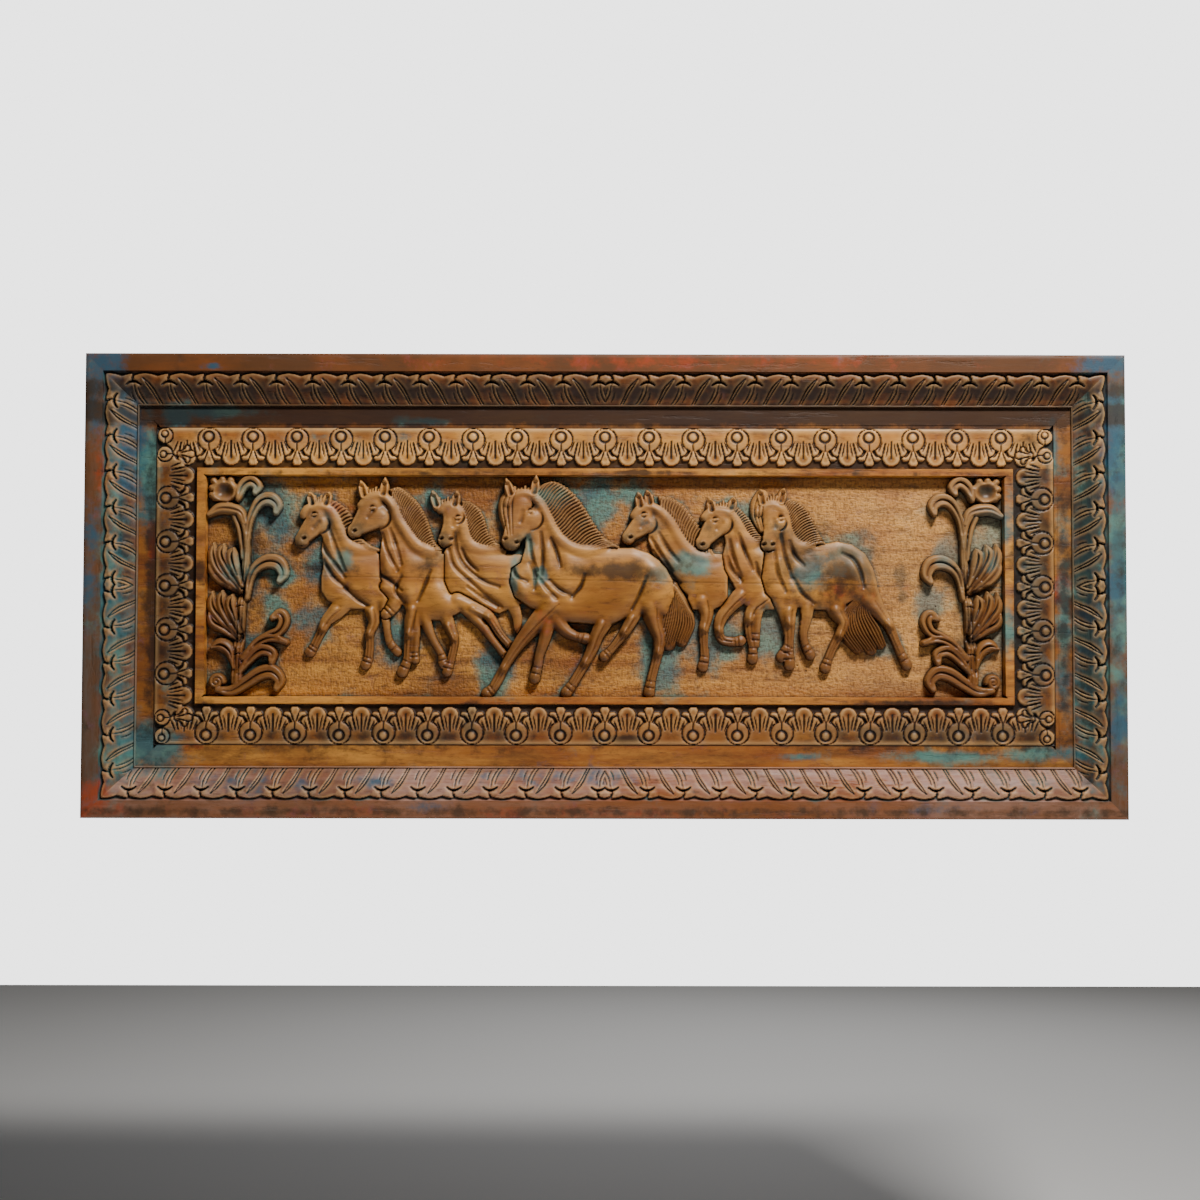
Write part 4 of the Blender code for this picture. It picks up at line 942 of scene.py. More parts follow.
# Stains: each patch is (x, z, reach along x, reach along z, strength), in millimetres from the panel's middle
# The hollow values bring dark wax and painted shade, the proud values worn edges and painted highlights, and
# the darkening values a darker tone, partly painted shade.
PAINTS = ("hollow", "proud", "aged", "blue", "deep", "dark", "red")
BLUE_PATCHES = [
    (70, 112, 30, 26, 0.5), (306, 100, 24, 34, 0.5), (400, 45, 80, 46, 0.5), (-170, 125, 26, 30, 0.3),
    (-590, 124, 45, 70, 0.7), (-623, 166, 24, 18, 1.0), (-500, 45, 35, 32, 0.7), (-586, -42, 30, 38, 0.7),
    (-575, 15, 24, 20, 0.9), (-372, -95, 30, 42, 0.9), (-200, -150, 32, 46, 0.8), (-305, 160, 26, 26, 0.7),
    (-10, 150, 32, 42, 0.9), (50, 170, 42, 26, 0.6), (100, -125, 38, 62, 1.0), (290, -73, 30, 56, 1.0),
    (220, -122, 24, 14, 0.8), (500, -108, 26, 22, 0.9), (580, -25, 32, 28, 0.9), (605, 60, 26, 32, 0.9),
    (260, 130, 22, 32, 0.5), (430, 88, 52, 20, 0.5), (-502, 107, 32, 40, 0.45), (-465, 45, 22, 26, 0.9),
    (150, 45, 48, 26, 0.9), (105, 25, 20, 26, 0.7), (355, 28, 30, 27, 1.0), (445, 25, 26, 26, 0.5),
    (-140, 72, 18, 32, 0.8), (-114, 20, 14, 18, 1.0), (-160, 20, 12, 60, 0.8),
    (-760, 300, 40, 30, 0.9), (-700, 308, 120, 14, 0.8), (-805, 215, 24, 110, 0.9), (-796, -287, 60, 48, 1.0),
    (-770, -200, 20, 80, 0.5), (902, 60, 16, 260, 0.8), (850, 0, 26, 360, 0.5), (-862, 0, 24, 360, 0.45),
    (752, -40, 30, 240, 0.6), (810, -40, 18, 240, 0.65), (-640, 40, 40, 30, 0.6), (690, 100, 50, 70, 0.7),
    (690, -80, 50, 70, 0.7),
    (-545, 150, 60, 30, 0.5), (-530, -60, 40, 30, 0.4), (-640, -120, 30, 40, 0.6), (-90, 160, 60, 20, 0.5),
    (170, -90, 70, 60, 0.6), (240, 140, 60, 30, 0.5), (420, 60, 70, 26, 0.6), (560, 130, 60, 20, 0.4),
    (790, 250, 14, 60, 0.5), (-306, 292, 60, 8, 0.7), (780, -296, 85, 20, 0.9), (600, -300, 120, 12, 0.6),
    (341, -300, 40, 9, 0.8), (-400, 250, 320, 26, 0.35),
]
DEEP_PATCHES = [
    (-892, 387, 60, 40, 0.9), (-900, 325, 20, 62, 0.7), (-900, 98, 20, 52, 0.8), (-900, 0, 20, 62, 0.6),
    (-838, 255, 24, 110, 1.0), (-846, 120, 20, 90, 0.5), (-688, 385, 22, 7, 1.0), (892, 270, 24, 92, 1.0),
    (892, 0, 22, 58, 0.9), (900, -235, 22, 44, 0.9), (892, 390, 52, 30, 1.0), (-324, -390, 60, 12, 0.6),
    (-400, -345, 30, 14, 0.8), (-640, -350, 160, 24, 0.5), (-100, -335, 160, 22, 0.5),
    (560, -392, 260, 10, 0.4),
    (640, -262, 130, 16, 0.5), (850, -60, 26, 180, 0.5),
]
DARK_PATCHES = [
    (70, 104, 36, 30, 0.4), (192, 98, 28, 26, 0.45), (306, 104, 28, 36, 0.45), (-515, 108, 32, 26, 0.4),
    (420, 20, 90, 60, 0.5),
    # The two long bands at 304 and 345 are painted shadow on the top band under the top rail and painted
    # shade on the top moulding, which faces down.
    (0, 304, 4000, 22, 1.1), (0, 345, 4000, 22, 0.7), (-796, 0, 20, 330, 0.75), (-757, 0, 34, 330, 0.7),
    (757, 0, 36, 300, 0.95), (902, 0, 20, 380, 0.35), (-400, -262, 440, 36, 0.55), (600, -262, 260, 34, 0.75),
    (850, 0, 32, 330, 0.9),
    (0, -396, 4000, 10, 0.5), (812, 0, 18, 300, 0.6), (-845, 100, 22, 300, 0.5),
    (430, 34, 70, 54, 0.75), (350, 60, 60, 70, 0.5), (380, -20, 80, 40, 0.4), (30, 27, 130, 17, 0.7),
    (110, 38, 60, 18, 0.6),
    (-538, 84, 16, 13, 0.9), (-440, 99, 17, 14, 0.9), (-287, 86, 17, 14, 0.9), (-166, 74, 22, 16, 0.9),
    (43, 88, 16, 13, 0.85), (174, 70, 16, 13, 0.85), (287, 70, 17, 14, 0.9), (200, 80, 50, 40, 0.4),
    (-640, 60, 44, 120, 0.55), (-640, -60, 44, 90, 0.45), (640, 60, 44, 120, 0.6),
    (640, -60, 44, 90, 0.5), (-500, 32, 70, 12, 0.7), (-320, 40, 30, 26, 0.6), (-290, 52, 20, 14, 0.6),
    (-240, -243, 14, 30, 1.0), (-236, -215, 16, 14, 0.9), (30, -270, 58, 9, 0.9), (760, 10, 20, 22, 0.9),
    (760, -68, 16, 22, 0.8), (-717, 20, 14, 26, 0.9), (700, -250, 60, 14, 0.7), (0, 200, 4000, 5, 0.4),
    (-715, -230, 30, 40, 0.6), (60, 201, 90, 6, 0.8), (560, -205, 140, 6, 0.7), (-120, -130, 50, 50, 0.3),
    (-700, 268, 100, 20, 0.4), (-300, 330, 200, 10, 0.4), (525, 20, 14, 22, 0.9), (528, -20, 10, 14, 0.8),
]
RED_PATCHES = [
    (807, 0, 14, 28, 1.0), (534, 0, 10, 30, 0.6), (-892, -372, 46, 46, 1.0), (-894, 119, 12, 12, 0.8),
    (-885, 200, 14, 60, 0.7), (0, -398, 800, 12, 0.35), (150, 395, 500, 14, 0.5), (-800, 60, 10, 60, 0.7),
    (-740, -280, 40, 12, 0.6), (900, 130, 16, 40, 0.7), (-470, 140, 30, 14, 0.4), (-160, -60, 120, 60, 0.3),
    (430, -10, 50, 26, 0.4), (60, 80, 10, 30, 0.3),
]


def patches(x, z, spots):
    total = np.zeros(len(x))
    for px, pz, reach_x, reach_z, strength in spots:
        falloff = np.exp(-((1000 * x - px) / reach_x)**2 - ((1000 * z - pz) / reach_z)**2)
        total = np.maximum(total, strength * falloff)
    return total


def stains_at(places):
    x, z = places[:, 0], places[:, 2]
    return {"blue": patches(x, z, BLUE_PATCHES), "deep": patches(x, z, DEEP_PATCHES),
            "dark": patches(x, z, DARK_PATCHES), "red": patches(x, z, RED_PATCHES)}


def wobble(x, z, size):
    """Hand-levelled unevenness: a few long waves laid over each other."""
    waves = ((31, 17, 0.3), (-23, 41, 1.9), (67, -29, 4.1), (13, 71, 2.6))
    return size * sum(np.sin(a * x + b * z + c) for a, b, c in waves) / 4


# Shader groups
def new_group(name, inputs, outputs):
    """A shader group with named sockets; each input is (name, kind, value)."""
    group = bpy.data.node_groups.new(name, "ShaderNodeTree")
    for label, kind, value in inputs:
        socket = group.interface.new_socket(label, in_out="INPUT", socket_type=kind)
        if value is not None:
            socket.default_value = value
    for label, kind in outputs:
        group.interface.new_socket(label, in_out="OUTPUT", socket_type=kind)
    return group, group.nodes.new("NodeGroupInput"), group.nodes.new("NodeGroupOutput")


def feed(tree, socket, value):
    """Link the socket to another one, or set it to a plain value."""
    if isinstance(value, bpy.types.NodeSocket):
        tree.links.new(value, socket)
    else:
        socket.default_value = value


def math_node(tree, operation, first, second, clamp=False):
    node = tree.nodes.new("ShaderNodeMath")
    node.operation = operation
    node.use_clamp = clamp
    feed(tree, node.inputs[0], first)
    feed(tree, node.inputs[1], second)
    return node.outputs[0]


def noise_node(tree, vector, scale, detail=4.0, roughness=0.6):
    node = tree.nodes.new("ShaderNodeTexNoise")
    for name, value in (("Vector", vector), ("Scale", scale), ("Detail", detail), ("Roughness", roughness)):
        feed(tree, node.inputs[name], value)
    return node.outputs["Fac"]


def stretch_node(tree, vector, scale):
    """The place, stretched along each axis."""
    node = tree.nodes.new("ShaderNodeVectorMath")
    node.operation = "MULTIPLY"
    feed(tree, node.inputs[0], vector)
    feed(tree, node.inputs[1], scale)
    return node.outputs["Vector"]


def range_node(tree, value, low, high, out_low=0.0, out_high=1.0):
    node = tree.nodes.new("ShaderNodeMapRange")
    node.interpolation_type = "SMOOTHSTEP"
    for socket, setting in zip(node.inputs, (value, low, high, out_low, out_high)):
        feed(tree, socket, setting)
    return node.outputs["Result"]


def mix_node(tree, factor, first, second):
    node = tree.nodes.new("ShaderNodeMix")
    node.data_type = "RGBA"
    for name, value in (("Factor", factor), ("A", first), ("B", second)):
        socket = next(s for s in node.inputs if s.enabled and s.name == name)
        plain_colour = not isinstance(value, (bpy.types.NodeSocket, int, float))
        feed(tree, socket, (*value, 1) if plain_colour else value)
    return next(s for s in node.outputs if s.enabled)


@lru_cache(maxsize=None)
def grain_group():
    """Long wood fibres: a colour value and a height, from a place stretched along the grain."""
    group, given, result = new_group(
        "Wood grain",
        [("Place", "NodeSocketVector", None), ("Along", "NodeSocketVector", (1.0, 1.0, 1.0))],
        [("Figure", "NodeSocketFloat"), ("Height", "NodeSocketFloat")])
    stretched = stretch_node(group, given.outputs["Place"], given.outputs["Along"])
    broad = noise_node(group, stretched, 9, 5, 0.65)
    fibre = noise_node(group, stretched, 70, 6, 0.7)
    figure = math_node(group, "MULTIPLY", broad, 0.65)
    figure = math_node(group, "ADD", figure, math_node(group, "MULTIPLY", fibre, 0.35))
    group.links.new(range_node(group, figure, 0.34, 0.66), result.inputs["Figure"])
    height = math_node(group, "MULTIPLY", fibre, 0.6)
    height = math_node(group, "ADD", height, range_node(group, fibre, 0.3, 0.42))
    group.links.new(height, result.inputs["Height"])
    return group


@lru_cache(maxsize=None)
def streak_group():
    """Where clouds, streaks and specks darken the wood, and where its paint has turned to chalk."""
    group, given, result = new_group(
        "Streaks and specks",
        [("Place", "NodeSocketVector", None), ("Along", "NodeSocketVector", (1.0, 1.0, 1.0)),
         ("Mottling", "NodeSocketFloat", 0.6)],
        [(name, "NodeSocketFloat") for name in ("Clouds", "Streaks", "Specks", "Chalk")])
    place = given.outputs["Place"]
    drawn_out = stretch_node(group, place, given.outputs["Along"])
    mottling = given.outputs["Mottling"]
    masks = {
        "Clouds": range_node(group, noise_node(group, place, 7, 3, 0.6), 0.42, 0.66, 0, 0.5),
        "Streaks": range_node(group, noise_node(group, drawn_out, 5, 8, 0.72), 0.48, 0.64, 0, mottling),
        "Specks": range_node(group, noise_node(group, drawn_out, 60, 8, 0.75), 0.52, 0.66, 0, 0.6),
        "Chalk": range_node(group, noise_node(group, place, 16, 4), 0.4, 0.62),
    }
    for name, mask in masks.items():
        group.links.new(mask, result.inputs[name])
    return group


@lru_cache(maxsize=None)
def patch_group():
    """Breaks a soft patch up into worn, blotchy paint."""
    group, given, result = new_group(
        "Worn paint",
        [("Place", "NodeSocketVector", None), ("Amount", "NodeSocketFloat", 0.5),
         ("Size", "NodeSocketFloat", 30.0),
         ("Break", "NodeSocketFloat", 0.8)],
        [("Mask", "NodeSocketFloat")])
    blotches = noise_node(group, given.outputs["Place"], given.outputs["Size"], 7, 0.68)
    centred = math_node(group, "SUBTRACT", blotches, 0.5)
    torn = math_node(group, "MULTIPLY", centred, given.outputs["Break"])
    total = math_node(group, "ADD", given.outputs["Amount"], math_node(group, "MULTIPLY", torn, 3))
    group.links.new(range_node(group, total, 0.2, 0.9), result.inputs["Mask"])
    return group


@lru_cache(maxsize=None)
def shade_and_wear_group():
    """Dark wax and painted shade in the hollows, and worn edges and painted highlights where the wood stands
    proud.
    """
    group, given, result = new_group(
        "Grime and rubbing",
        [("Place", "NodeSocketVector", None), ("Hollow", "NodeSocketFloat", 0.0),
         ("Proud", "NodeSocketFloat", 0.0),
         ("Grime", "NodeSocketFloat", 1.0), ("Rubbing", "NodeSocketFloat", 1.0)],
        [("Grime", "NodeSocketFloat"), ("Rubbing", "NodeSocketFloat")])
    cloud = noise_node(group, given.outputs["Place"], 24, 5, 0.6)
    # Dark wax and painted shade where the hollow value is high.
    shade_and_grime = math_node(group, "MULTIPLY", given.outputs["Hollow"], math_node(group, "ADD", cloud, 0.55))
    shade_and_grime = math_node(group, "MULTIPLY", shade_and_grime, given.outputs["Grime"], clamp=True)
    group.links.new(shade_and_grime, result.inputs["Grime"])
    # Worn edges and painted highlights where the proud value is high.
    rubbed_and_highlight = math_node(group, "MULTIPLY", given.outputs["Proud"], math_node(group, "ADD", cloud, 0.35))
    rubbed_and_highlight = math_node(group, "MULTIPLY", rubbed_and_highlight, given.outputs["Rubbing"], clamp=True)
    group.links.new(rubbed_and_highlight, result.inputs["Rubbing"])
    return group


def use_group(tree, group, **values):
    node = tree.nodes.new("ShaderNodeGroup")
    node.node_tree = group
    for name, value in values.items():
        feed(tree, node.inputs[name], value)
    return node.outputs


def painted(tree, name):
    node = tree.nodes.new("ShaderNodeAttribute")
    node.attribute_name = name
    return node.outputs["Fac"]


def worn_patch(tree, place, amount, size, tear):
    return use_group(tree, patch_group(), Place=place, Amount=amount, Size=size, Break=tear)["Mask"]


def lay_over(tree, wood, mask, share, tone):
    """The wood with a share of the tone over it, where the mask is."""
    return mix_node(tree, math_node(tree, "MULTIPLY", mask, share), wood, tone)


def stained_wood(name, light, dark, along, washed=0.0, roughness=0.48, rubbing_and_highlight=0.8, grime_and_shade=1.0,
                 hollow_paint=0.35, pits=0.0, mottling=0.6, relief=0.0012):
    """Waxed wood with worn blue-green paint, dark and red stains, dark wax and painted shade in the hollows,
    and worn edges and painted highlights.
    """
    colours = bpy.context.scene.panel_colours
    material = bpy.data.materials.new(name)
    material.use_nodes = True
    tree = material.node_tree
    shader = tree.nodes["Principled BSDF"]
    place = tree.nodes.new("ShaderNodeTexCoord").outputs["Object"]
    grain = use_group(tree, grain_group(), Place=place, Along=along)
    drawn_out = [min(4 * a, 2) for a in along]
    marks = use_group(tree, streak_group(), Place=place, Along=drawn_out, Mottling=mottling)
    wood = mix_node(tree, grain["Figure"], dark, light)
    wood = mix_node(tree, marks["Clouds"], wood, colours.russet)
    wood = mix_node(tree, marks["Streaks"], wood, colours.umber)
    wood = mix_node(tree, marks["Specks"], wood, colours.umber)
    # Darker tone: towards the bottom of the horses, and painted shade on the left of the ground, the top band
    # and the top rail.
    wood = lay_over(tree, wood, painted(tree, "aged"), 0.85, colours.chestnut)
    # The hollow value brings dark wax and painted shade, the proud value worn edges and painted highlights.
    hollow, proud = painted(tree, "hollow"), painted(tree, "proud")
    wear_and_painted_light = use_group(tree, shade_and_wear_group(), Place=place, Hollow=hollow, Proud=proud, Grime=grime_and_shade,
                     Rubbing=rubbing_and_highlight)
    red = worn_patch(tree, place, painted(tree, "red"), 26.0, 0.8)
    wood = lay_over(tree, wood, red, 0.75, colours.red_stain)
    thin = math_node(tree, "ADD", math_node(tree, "MULTIPLY", hollow, hollow_paint), washed)
    blue = math_node(tree, "ADD", math_node(tree, "MULTIPLY", painted(tree, "blue"), 1.25), thin)
    blue = math_node(tree, "SUBTRACT", blue, math_node(tree, "MULTIPLY", wear_and_painted_light["Rubbing"], 0.5))
    blue = worn_patch(tree, place, blue, 18.0, 0.75)
    wood = lay_over(tree, wood, blue, 0.82, mix_node(tree, marks["Chalk"], colours.teal, colours.pale_teal))
    deep = worn_patch(tree, place, painted(tree, "deep"), 26.0, 0.8)
    wood = lay_over(tree, wood, deep, 0.85, colours.deep_blue)
    # Dark stains, and painted shadow and shade on the top band and the top moulding.
    stain = worn_patch(tree, place, math_node(tree, "MULTIPLY", painted(tree, "dark"), 1.3), 30.0, 0.8)
    wood = lay_over(tree, wood, stain, 0.8, colours.ink_and_shadow)
    # Painted highlights and worn edges in the pale colour, then dark wax and painted shade in the dark one.
    wood = lay_over(tree, wood, wear_and_painted_light["Rubbing"], 0.5, colours.rubbed_and_highlight)
    wood = lay_over(tree, wood, wear_and_painted_light["Grime"], 0.9, colours.grime_and_shade)
    shader.inputs["Specular IOR Level"].default_value = 0.35
    rough = math_node(tree, "ADD", math_node(tree, "MULTIPLY", grain["Figure"], -0.12), roughness + 0.06)
    rough = math_node(tree, "ADD", rough, math_node(tree, "MULTIPLY", blue, 0.18))
    tree.links.new(rough, shader.inputs["Roughness"])
    height = grain["Height"]
    if pits:
        cells = tree.nodes.new("ShaderNodeTexVoronoi")
        tree.links.new(place, cells.inputs["Vector"])
        cells.inputs["Scale"].default_value = 42
        hole = range_node(tree, cells.outputs["Distance"], 0.02, 0.09)
        sparse = range_node(tree, noise_node(tree, place, 11, 2), 0.52, 0.6)
        hole = math_node(tree, "MULTIPLY", math_node(tree, "SUBTRACT", 1, hole), sparse)
        height = math_node(tree, "SUBTRACT", height, math_node(tree, "MULTIPLY", hole, pits))
        level = noise_node(tree, stretch_node(tree, place, (0.4, 1, 1)), 260, 2)
        upright = noise_node(tree, stretch_node(tree, place, (1, 1, 0.4)), 260, 2)
        weave = math_node(tree, "ADD", level, upright)
        height = math_node(tree, "ADD", height, math_node(tree, "MULTIPLY", weave, 1.5))
        wood = mix_node(tree, range_node(tree, weave, 0.75, 1.1, 0.5, 0), wood, colours.umber)
        wood = lay_over(tree, wood, hole, 0.8, colours.grime_and_shade)
    tree.links.new(wood, shader.inputs["Base Color"])
    bump = tree.nodes.new("ShaderNodeBump")
    bump.inputs["Strength"].default_value = 0.6
    bump.inputs["Distance"].default_value = relief
    tree.links.new(height, bump.inputs["Height"])
    tree.links.new(bump.outputs["Normal"], shader.inputs["Normal"])
    return material


ALONG_LENGTH = (0.12, 1.0, 1.0)
UPRIGHT = (1.0, 1.0, 0.12)


@lru_cache(maxsize=None)
def woods():
    """Each part's own wood, from the panel's colours."""
    c = bpy.context.scene.panel_colours
    return {
        "figures": stained_wood("figure_wood", c.golden, c.brown, ALONG_LENGTH, roughness=0.42, rubbing_and_highlight=0.6,
                                hollow_paint=0.3, mottling=0.45, relief=0.0008),
        "ground": stained_wood("ground_wood", c.golden, c.brown, ALONG_LENGTH, washed=0.06, roughness=0.55,
                               hollow_paint=0.55, pits=2.5, mottling=0.4, relief=0.0022),
        "border": stained_wood("border_wood", c.golden, c.russet, ALONG_LENGTH, hollow_paint=0.2, rubbing_and_highlight=1.5,
                               grime_and_shade=2.3, mottling=0.7),
        "band": stained_wood("band_wood", c.golden, c.russet, ALONG_LENGTH, mottling=0.7),
        # The top rail's dark wood and extra dark wax are partly painted shade on its downward-facing
        # moulding.
        "top": stained_wood("top_rail_wood", c.dark_rail, c.umber, ALONG_LENGTH, rubbing_and_highlight=0.5, grime_and_shade=1.4),
        "bottom": stained_wood("bottom_rail_wood", c.rose, c.russet, ALONG_LENGTH, washed=0.1,
                               hollow_paint=0.7,
                               mottling=0.5),
        "left": stained_wood("left_stile_wood", c.slate, c.umber, UPRIGHT, washed=0.22, hollow_paint=0.8),
        "right": stained_wood("right_stile_wood", c.slate, c.umber, UPRIGHT, washed=0.26, hollow_paint=0.7,
                              grime_and_shade=1.4),
    }


# Pieces
def levels_of(sizes):
    """Half lengths and half heights of the board's frames, from the outside in."""
    board = np.array([HALF_LENGTH - RAIL_WIDTH - GAP, HALF_HEIGHT - RAIL_WIDTH - GAP])
    border = board - [sizes.band_side, sizes.band_top]
    fillet = border - sizes.border_width
    field = fillet - [sizes.fillet_side, sizes.fillet_top]
    return board, border, fillet, field


SIDES = {"bottom": (1, 0), "right": (0, 1), "top": (-1, 0), "left": (0, -1)}


def on_side(side, half, u, v, depth):
    """World places on one side of a frame: u along it, v in from its outer edge."""
    length, height = half
    if side == "bottom":
        x, z = u, v - height
    elif side == "top":
        x, z = -u, height - v
    elif side == "left":
        x, z = v - length, -u
    else:
        x, z = length - v, u
    return np.stack([x, -depth, z], -1)


def mitred_strip(skin, side, half, stations, step, **paint):
    """A plain strip along a side, from (v, depth) stations, mitred at both ends."""
    half_side = half[0] if side in ("bottom", "top") else half[1]
    v, depth = np.array(stations).T
    count = max(int(2 * half_side / step), 2)
    share = np.linspace(-1, 1, count + 1)
    u = share[None, :] * (half_side - v)[:, None]
    gv = np.repeat(v[:, None], count + 1, 1)
    gd = np.repeat(depth[:, None], count + 1, 1)
    skin.grid(on_side(side, half, u, gv, gd), **paint)


def field_square(field, slope):
    return 2 * (field[0] - slope) / SQUARES_LONG


def seam(gx, gz):
    """The glued joint between the two planks that the field is carved from."""
    return np.exp(-((gz - 124 + 12 * gx / SQUARES_LONG) / 0.7)**2)


def make_figures(names):
    """Horses or scrolls, each its own piece, with dark wax and painted shade between and under its forms, and
    painted highlights on its upper edges.
    """
    sizes = bpy.context.scene.panel_sizes
    field = levels_of(sizes)[3]
    square = field_square(field, sizes.slope)
    x, z, figures, whole = carved_field(sizes.carving_step)
    hollow, proud = hollows_and_ridges(whole, 3, 2)
    broad, lofty = hollows_and_ridges(whole, 9, 6)
    lean = tilt_up(whole, sizes.carving_step)
    gx, gz = np.meshgrid(x, z)
    joint = seam(gx, gz)
    wx = (gx - SQUARES_LONG / 2) * square
    wz = (gz - SQUARES_HIGH / 2) * square
    for name in names:
        sheet = figures[name]
        height = np.clip(sheet.height - 0.3 * joint, BURIED, None)
        seen = sheet.height > BURIED + 0.05
        keep = seen[:-1, :-1] | seen[:-1, 1:] | seen[1:, 1:] | seen[1:, :-1]
        places = np.stack([wx, -(sizes.field_depth + height * square), wz], -1)
        skin = Skin(name)
        # Darker towards the bottom of the horses and on their combed hair; the scrolls are dark all over.
        low = np.clip((112 - gz) / 50, 0, 1)
        aged = np.maximum(0.25 + 0.75 * low, 0.9 * sheet.combed) if name.endswith("horse") else 1.0
        # Dark wax and painted shade in the hollows, the dark seam, and painted shade on slopes that lean away
        # from the light.
        shade_and_grime = np.clip(hollow + 0.9 * broad + 0.4 * joint + 0.45 * np.clip(-lean - 0.3, 0, 1), 0, 1)
        # Worn edges, and painted highlights on slopes that lean towards the light and on the figures' upper
        # parts; less of both towards the bottom.
        worn = proud + 0.35 * lofty + 0.8 * np.clip(lean - 0.1, 0, 1) + 0.35 * np.clip((gz - 118) / 30, 0, 1)
        worn = np.clip(worn, 0, 1) * (1 - 0.7 * low)
        skin.grid(places, keep, hollow=shade_and_grime, proud=worn, aged=aged, washed=-0.8 * low)
        skin.make(woods()["figures"])


def make_ground():
    """The sunk ground behind the figures, hand-levelled, with dark wax, painted shade and paint gathered at
    their feet.
    """
    sizes = bpy.context.scene.panel_sizes
    field = levels_of(sizes)[3] - sizes.slope
    square = field_square(levels_of(sizes)[3], sizes.slope)
    x, z, _, whole = carved_field(sizes.carving_step)
    every = 2
    gx, gz = np.meshgrid(x[::every], z[::every])
    near = blur((whole > 0.5).astype(float), 8)[::every, ::every]
    close = blur((whole > 0.5).astype(float), 3)[::every, ::every]
    wx = (gx - SQUARES_LONG / 2) * square
    wz = (gz - SQUARES_HIGH / 2) * (2 * field[1] / SQUARES_HIGH)
    rim = np.minimum(field[0] - np.abs(wx), field[1] - np.abs(wz))
    # Dark wax and painted shade close to the figures and round the field's edge, and the dark seam.
    hollow = np.clip(0.9 * close**1.5 + 0.7 * np.exp(-rim / 0.004) + 0.5 * seam(gx, gz), 0, 1)
    depth = sizes.field_depth + wobble(wx, wz, 0.0005) * np.clip(rim / 0.01, 0, 1)
    skin = Skin("sunk_ground")
    # Painted shade: darker towards the left.
    aged = np.clip(0.15 - 0.3 * wx, 0, 0.25)
    places = np.stack([wx, -depth, wz], -1)
    # Painted light: the proud value makes the ground lighter towards the right.
    skin.grid(places, hollow=hollow, proud=np.clip(wx, 0, 0.55), aged=aged, washed=0.5 * near)
    skin.make(woods()["ground"])


# How dark each side is; on the top band and the top rail it is painted shade, under the rail and on its
# downward-facing moulding.
BORDER_AGE = {"top": 0.15, "bottom": 0.75, "left": 0.95, "right": 0.95}
BAND_TONE_AND_SHADE = {"top": 0.95, "bottom": 0.3, "left": 0.75, "right": 0.7}
RAIL_TONE_AND_SHADE = {"top": 0.55, "bottom": 0.05, "left": 0.3, "right": 0.4}
OUTER_AGE = {"top": 0.1, "bottom": 0.6, "left": 0.2, "right": 0.3}


def make_border():
    """Four strips of the carved border, the long ones with the corners."""
    sizes = bpy.context.scene.panel_sizes
    border = 1000 * levels_of(sizes)[1]
    inner = border - 1000 * (sizes.border_width - sizes.slope)
    repeats = list(border_repeats(border, sizes.long_repeats, sizes.short_repeats))
    step = 1000 * sizes.border_step
    spans = {"bottom": (-border[0], border[0], -border[1], -inner[1]),
             "top": (-border[0], border[0], inner[1], border[1]),
             "left": (-border[0], -inner[0], -inner[1], inner[1]),
             "right": (inner[0], border[0], -inner[1], inner[1])}
    for side, (x0, x1, z0, z1) in spans.items():
        x = np.linspace(x0, x1, int((x1 - x0) / step) + 1)
        z = np.linspace(z0, z1, int((z1 - z0) / step) + 1)
        height = np.clip(border_sheet(x, z, repeats), 0, None)
        hollow, proud = hollows_and_ridges(height, 3, 2)
        gx, gz = np.meshgrid(x / 1000, z / 1000)
        rim = np.minimum(border[0] / 1000 - np.abs(gx), border[1] / 1000 - np.abs(gz))
        depth = sizes.border_ground + height / 1000
        depth = depth + np.clip(1 - rim / sizes.slope, 0, 1) * (sizes.band_depth - depth)
        # Dark wax and painted shade on the border's ground between the ornaments.
        hollow = np.clip(hollow + 0.35 * (height < 1), 0, 1)
        skin = Skin(f"{side}_border")
        age = BORDER_AGE[side]
        places = np.stack([gx, -depth, gz], -1)
        skin.grid(places, hollow=hollow, proud=(1.1 - 0.7 * age) * proud, aged=age)
        skin.make(woods()["border"])


def make_board():
    """The flat band, the step down to the border, the fillet round the field, the edge and the back."""
    sizes = bpy.context.scene.panel_sizes
    board, _, fillet, _ = levels_of(sizes)
    skin = Skin("board")
    outer = np.array([BOARD[1].x, BOARD[1].z])
    reach = outer[0] - board[0]
    for side in SIDES:
        band = sizes.band_top if side in ("bottom", "top") else sizes.band_side
        fillet_width = sizes.fillet_top if side in ("bottom", "top") else sizes.fillet_side
        tongue = [(0.0, 0.0), (0.0, sizes.tongue_depth), (reach, sizes.tongue_depth),
                  (reach, sizes.band_depth)]
        mitred_strip(skin, side, outer, tongue, STRIP_STEP)
        worn = sizes.band_depth - WORN_DEPTH
        flat = [(t * (band - WORN_LIP), sizes.band_depth) for t in np.linspace(0, 1, 7)]
        flat += [(band - WORN_LIP, worn), (band, worn)]
        mitred_strip(skin, side, board, flat, STRIP_STEP, aged=BAND_TONE_AND_SHADE[side])
        edge = [(-sizes.slope, sizes.border_ground), (0, sizes.fillet_depth)]
        edge += [(t * fillet_width, sizes.fillet_depth) for t in np.linspace(0.1, 1, 4)]
        edge += [(fillet_width + sizes.slope, sizes.field_depth)]
        mitred_strip(skin, side, fillet, edge, STRIP_STEP)
    across = np.array([[[-outer[0], 0, -outer[1]], [-outer[0], 0, outer[1]]],
                       [[outer[0], 0, -outer[1]], [outer[0], 0, outer[1]]]])
    skin.grid(across)
    piece = skin.make(woods()["band"], "carved_panel", smooth=False)


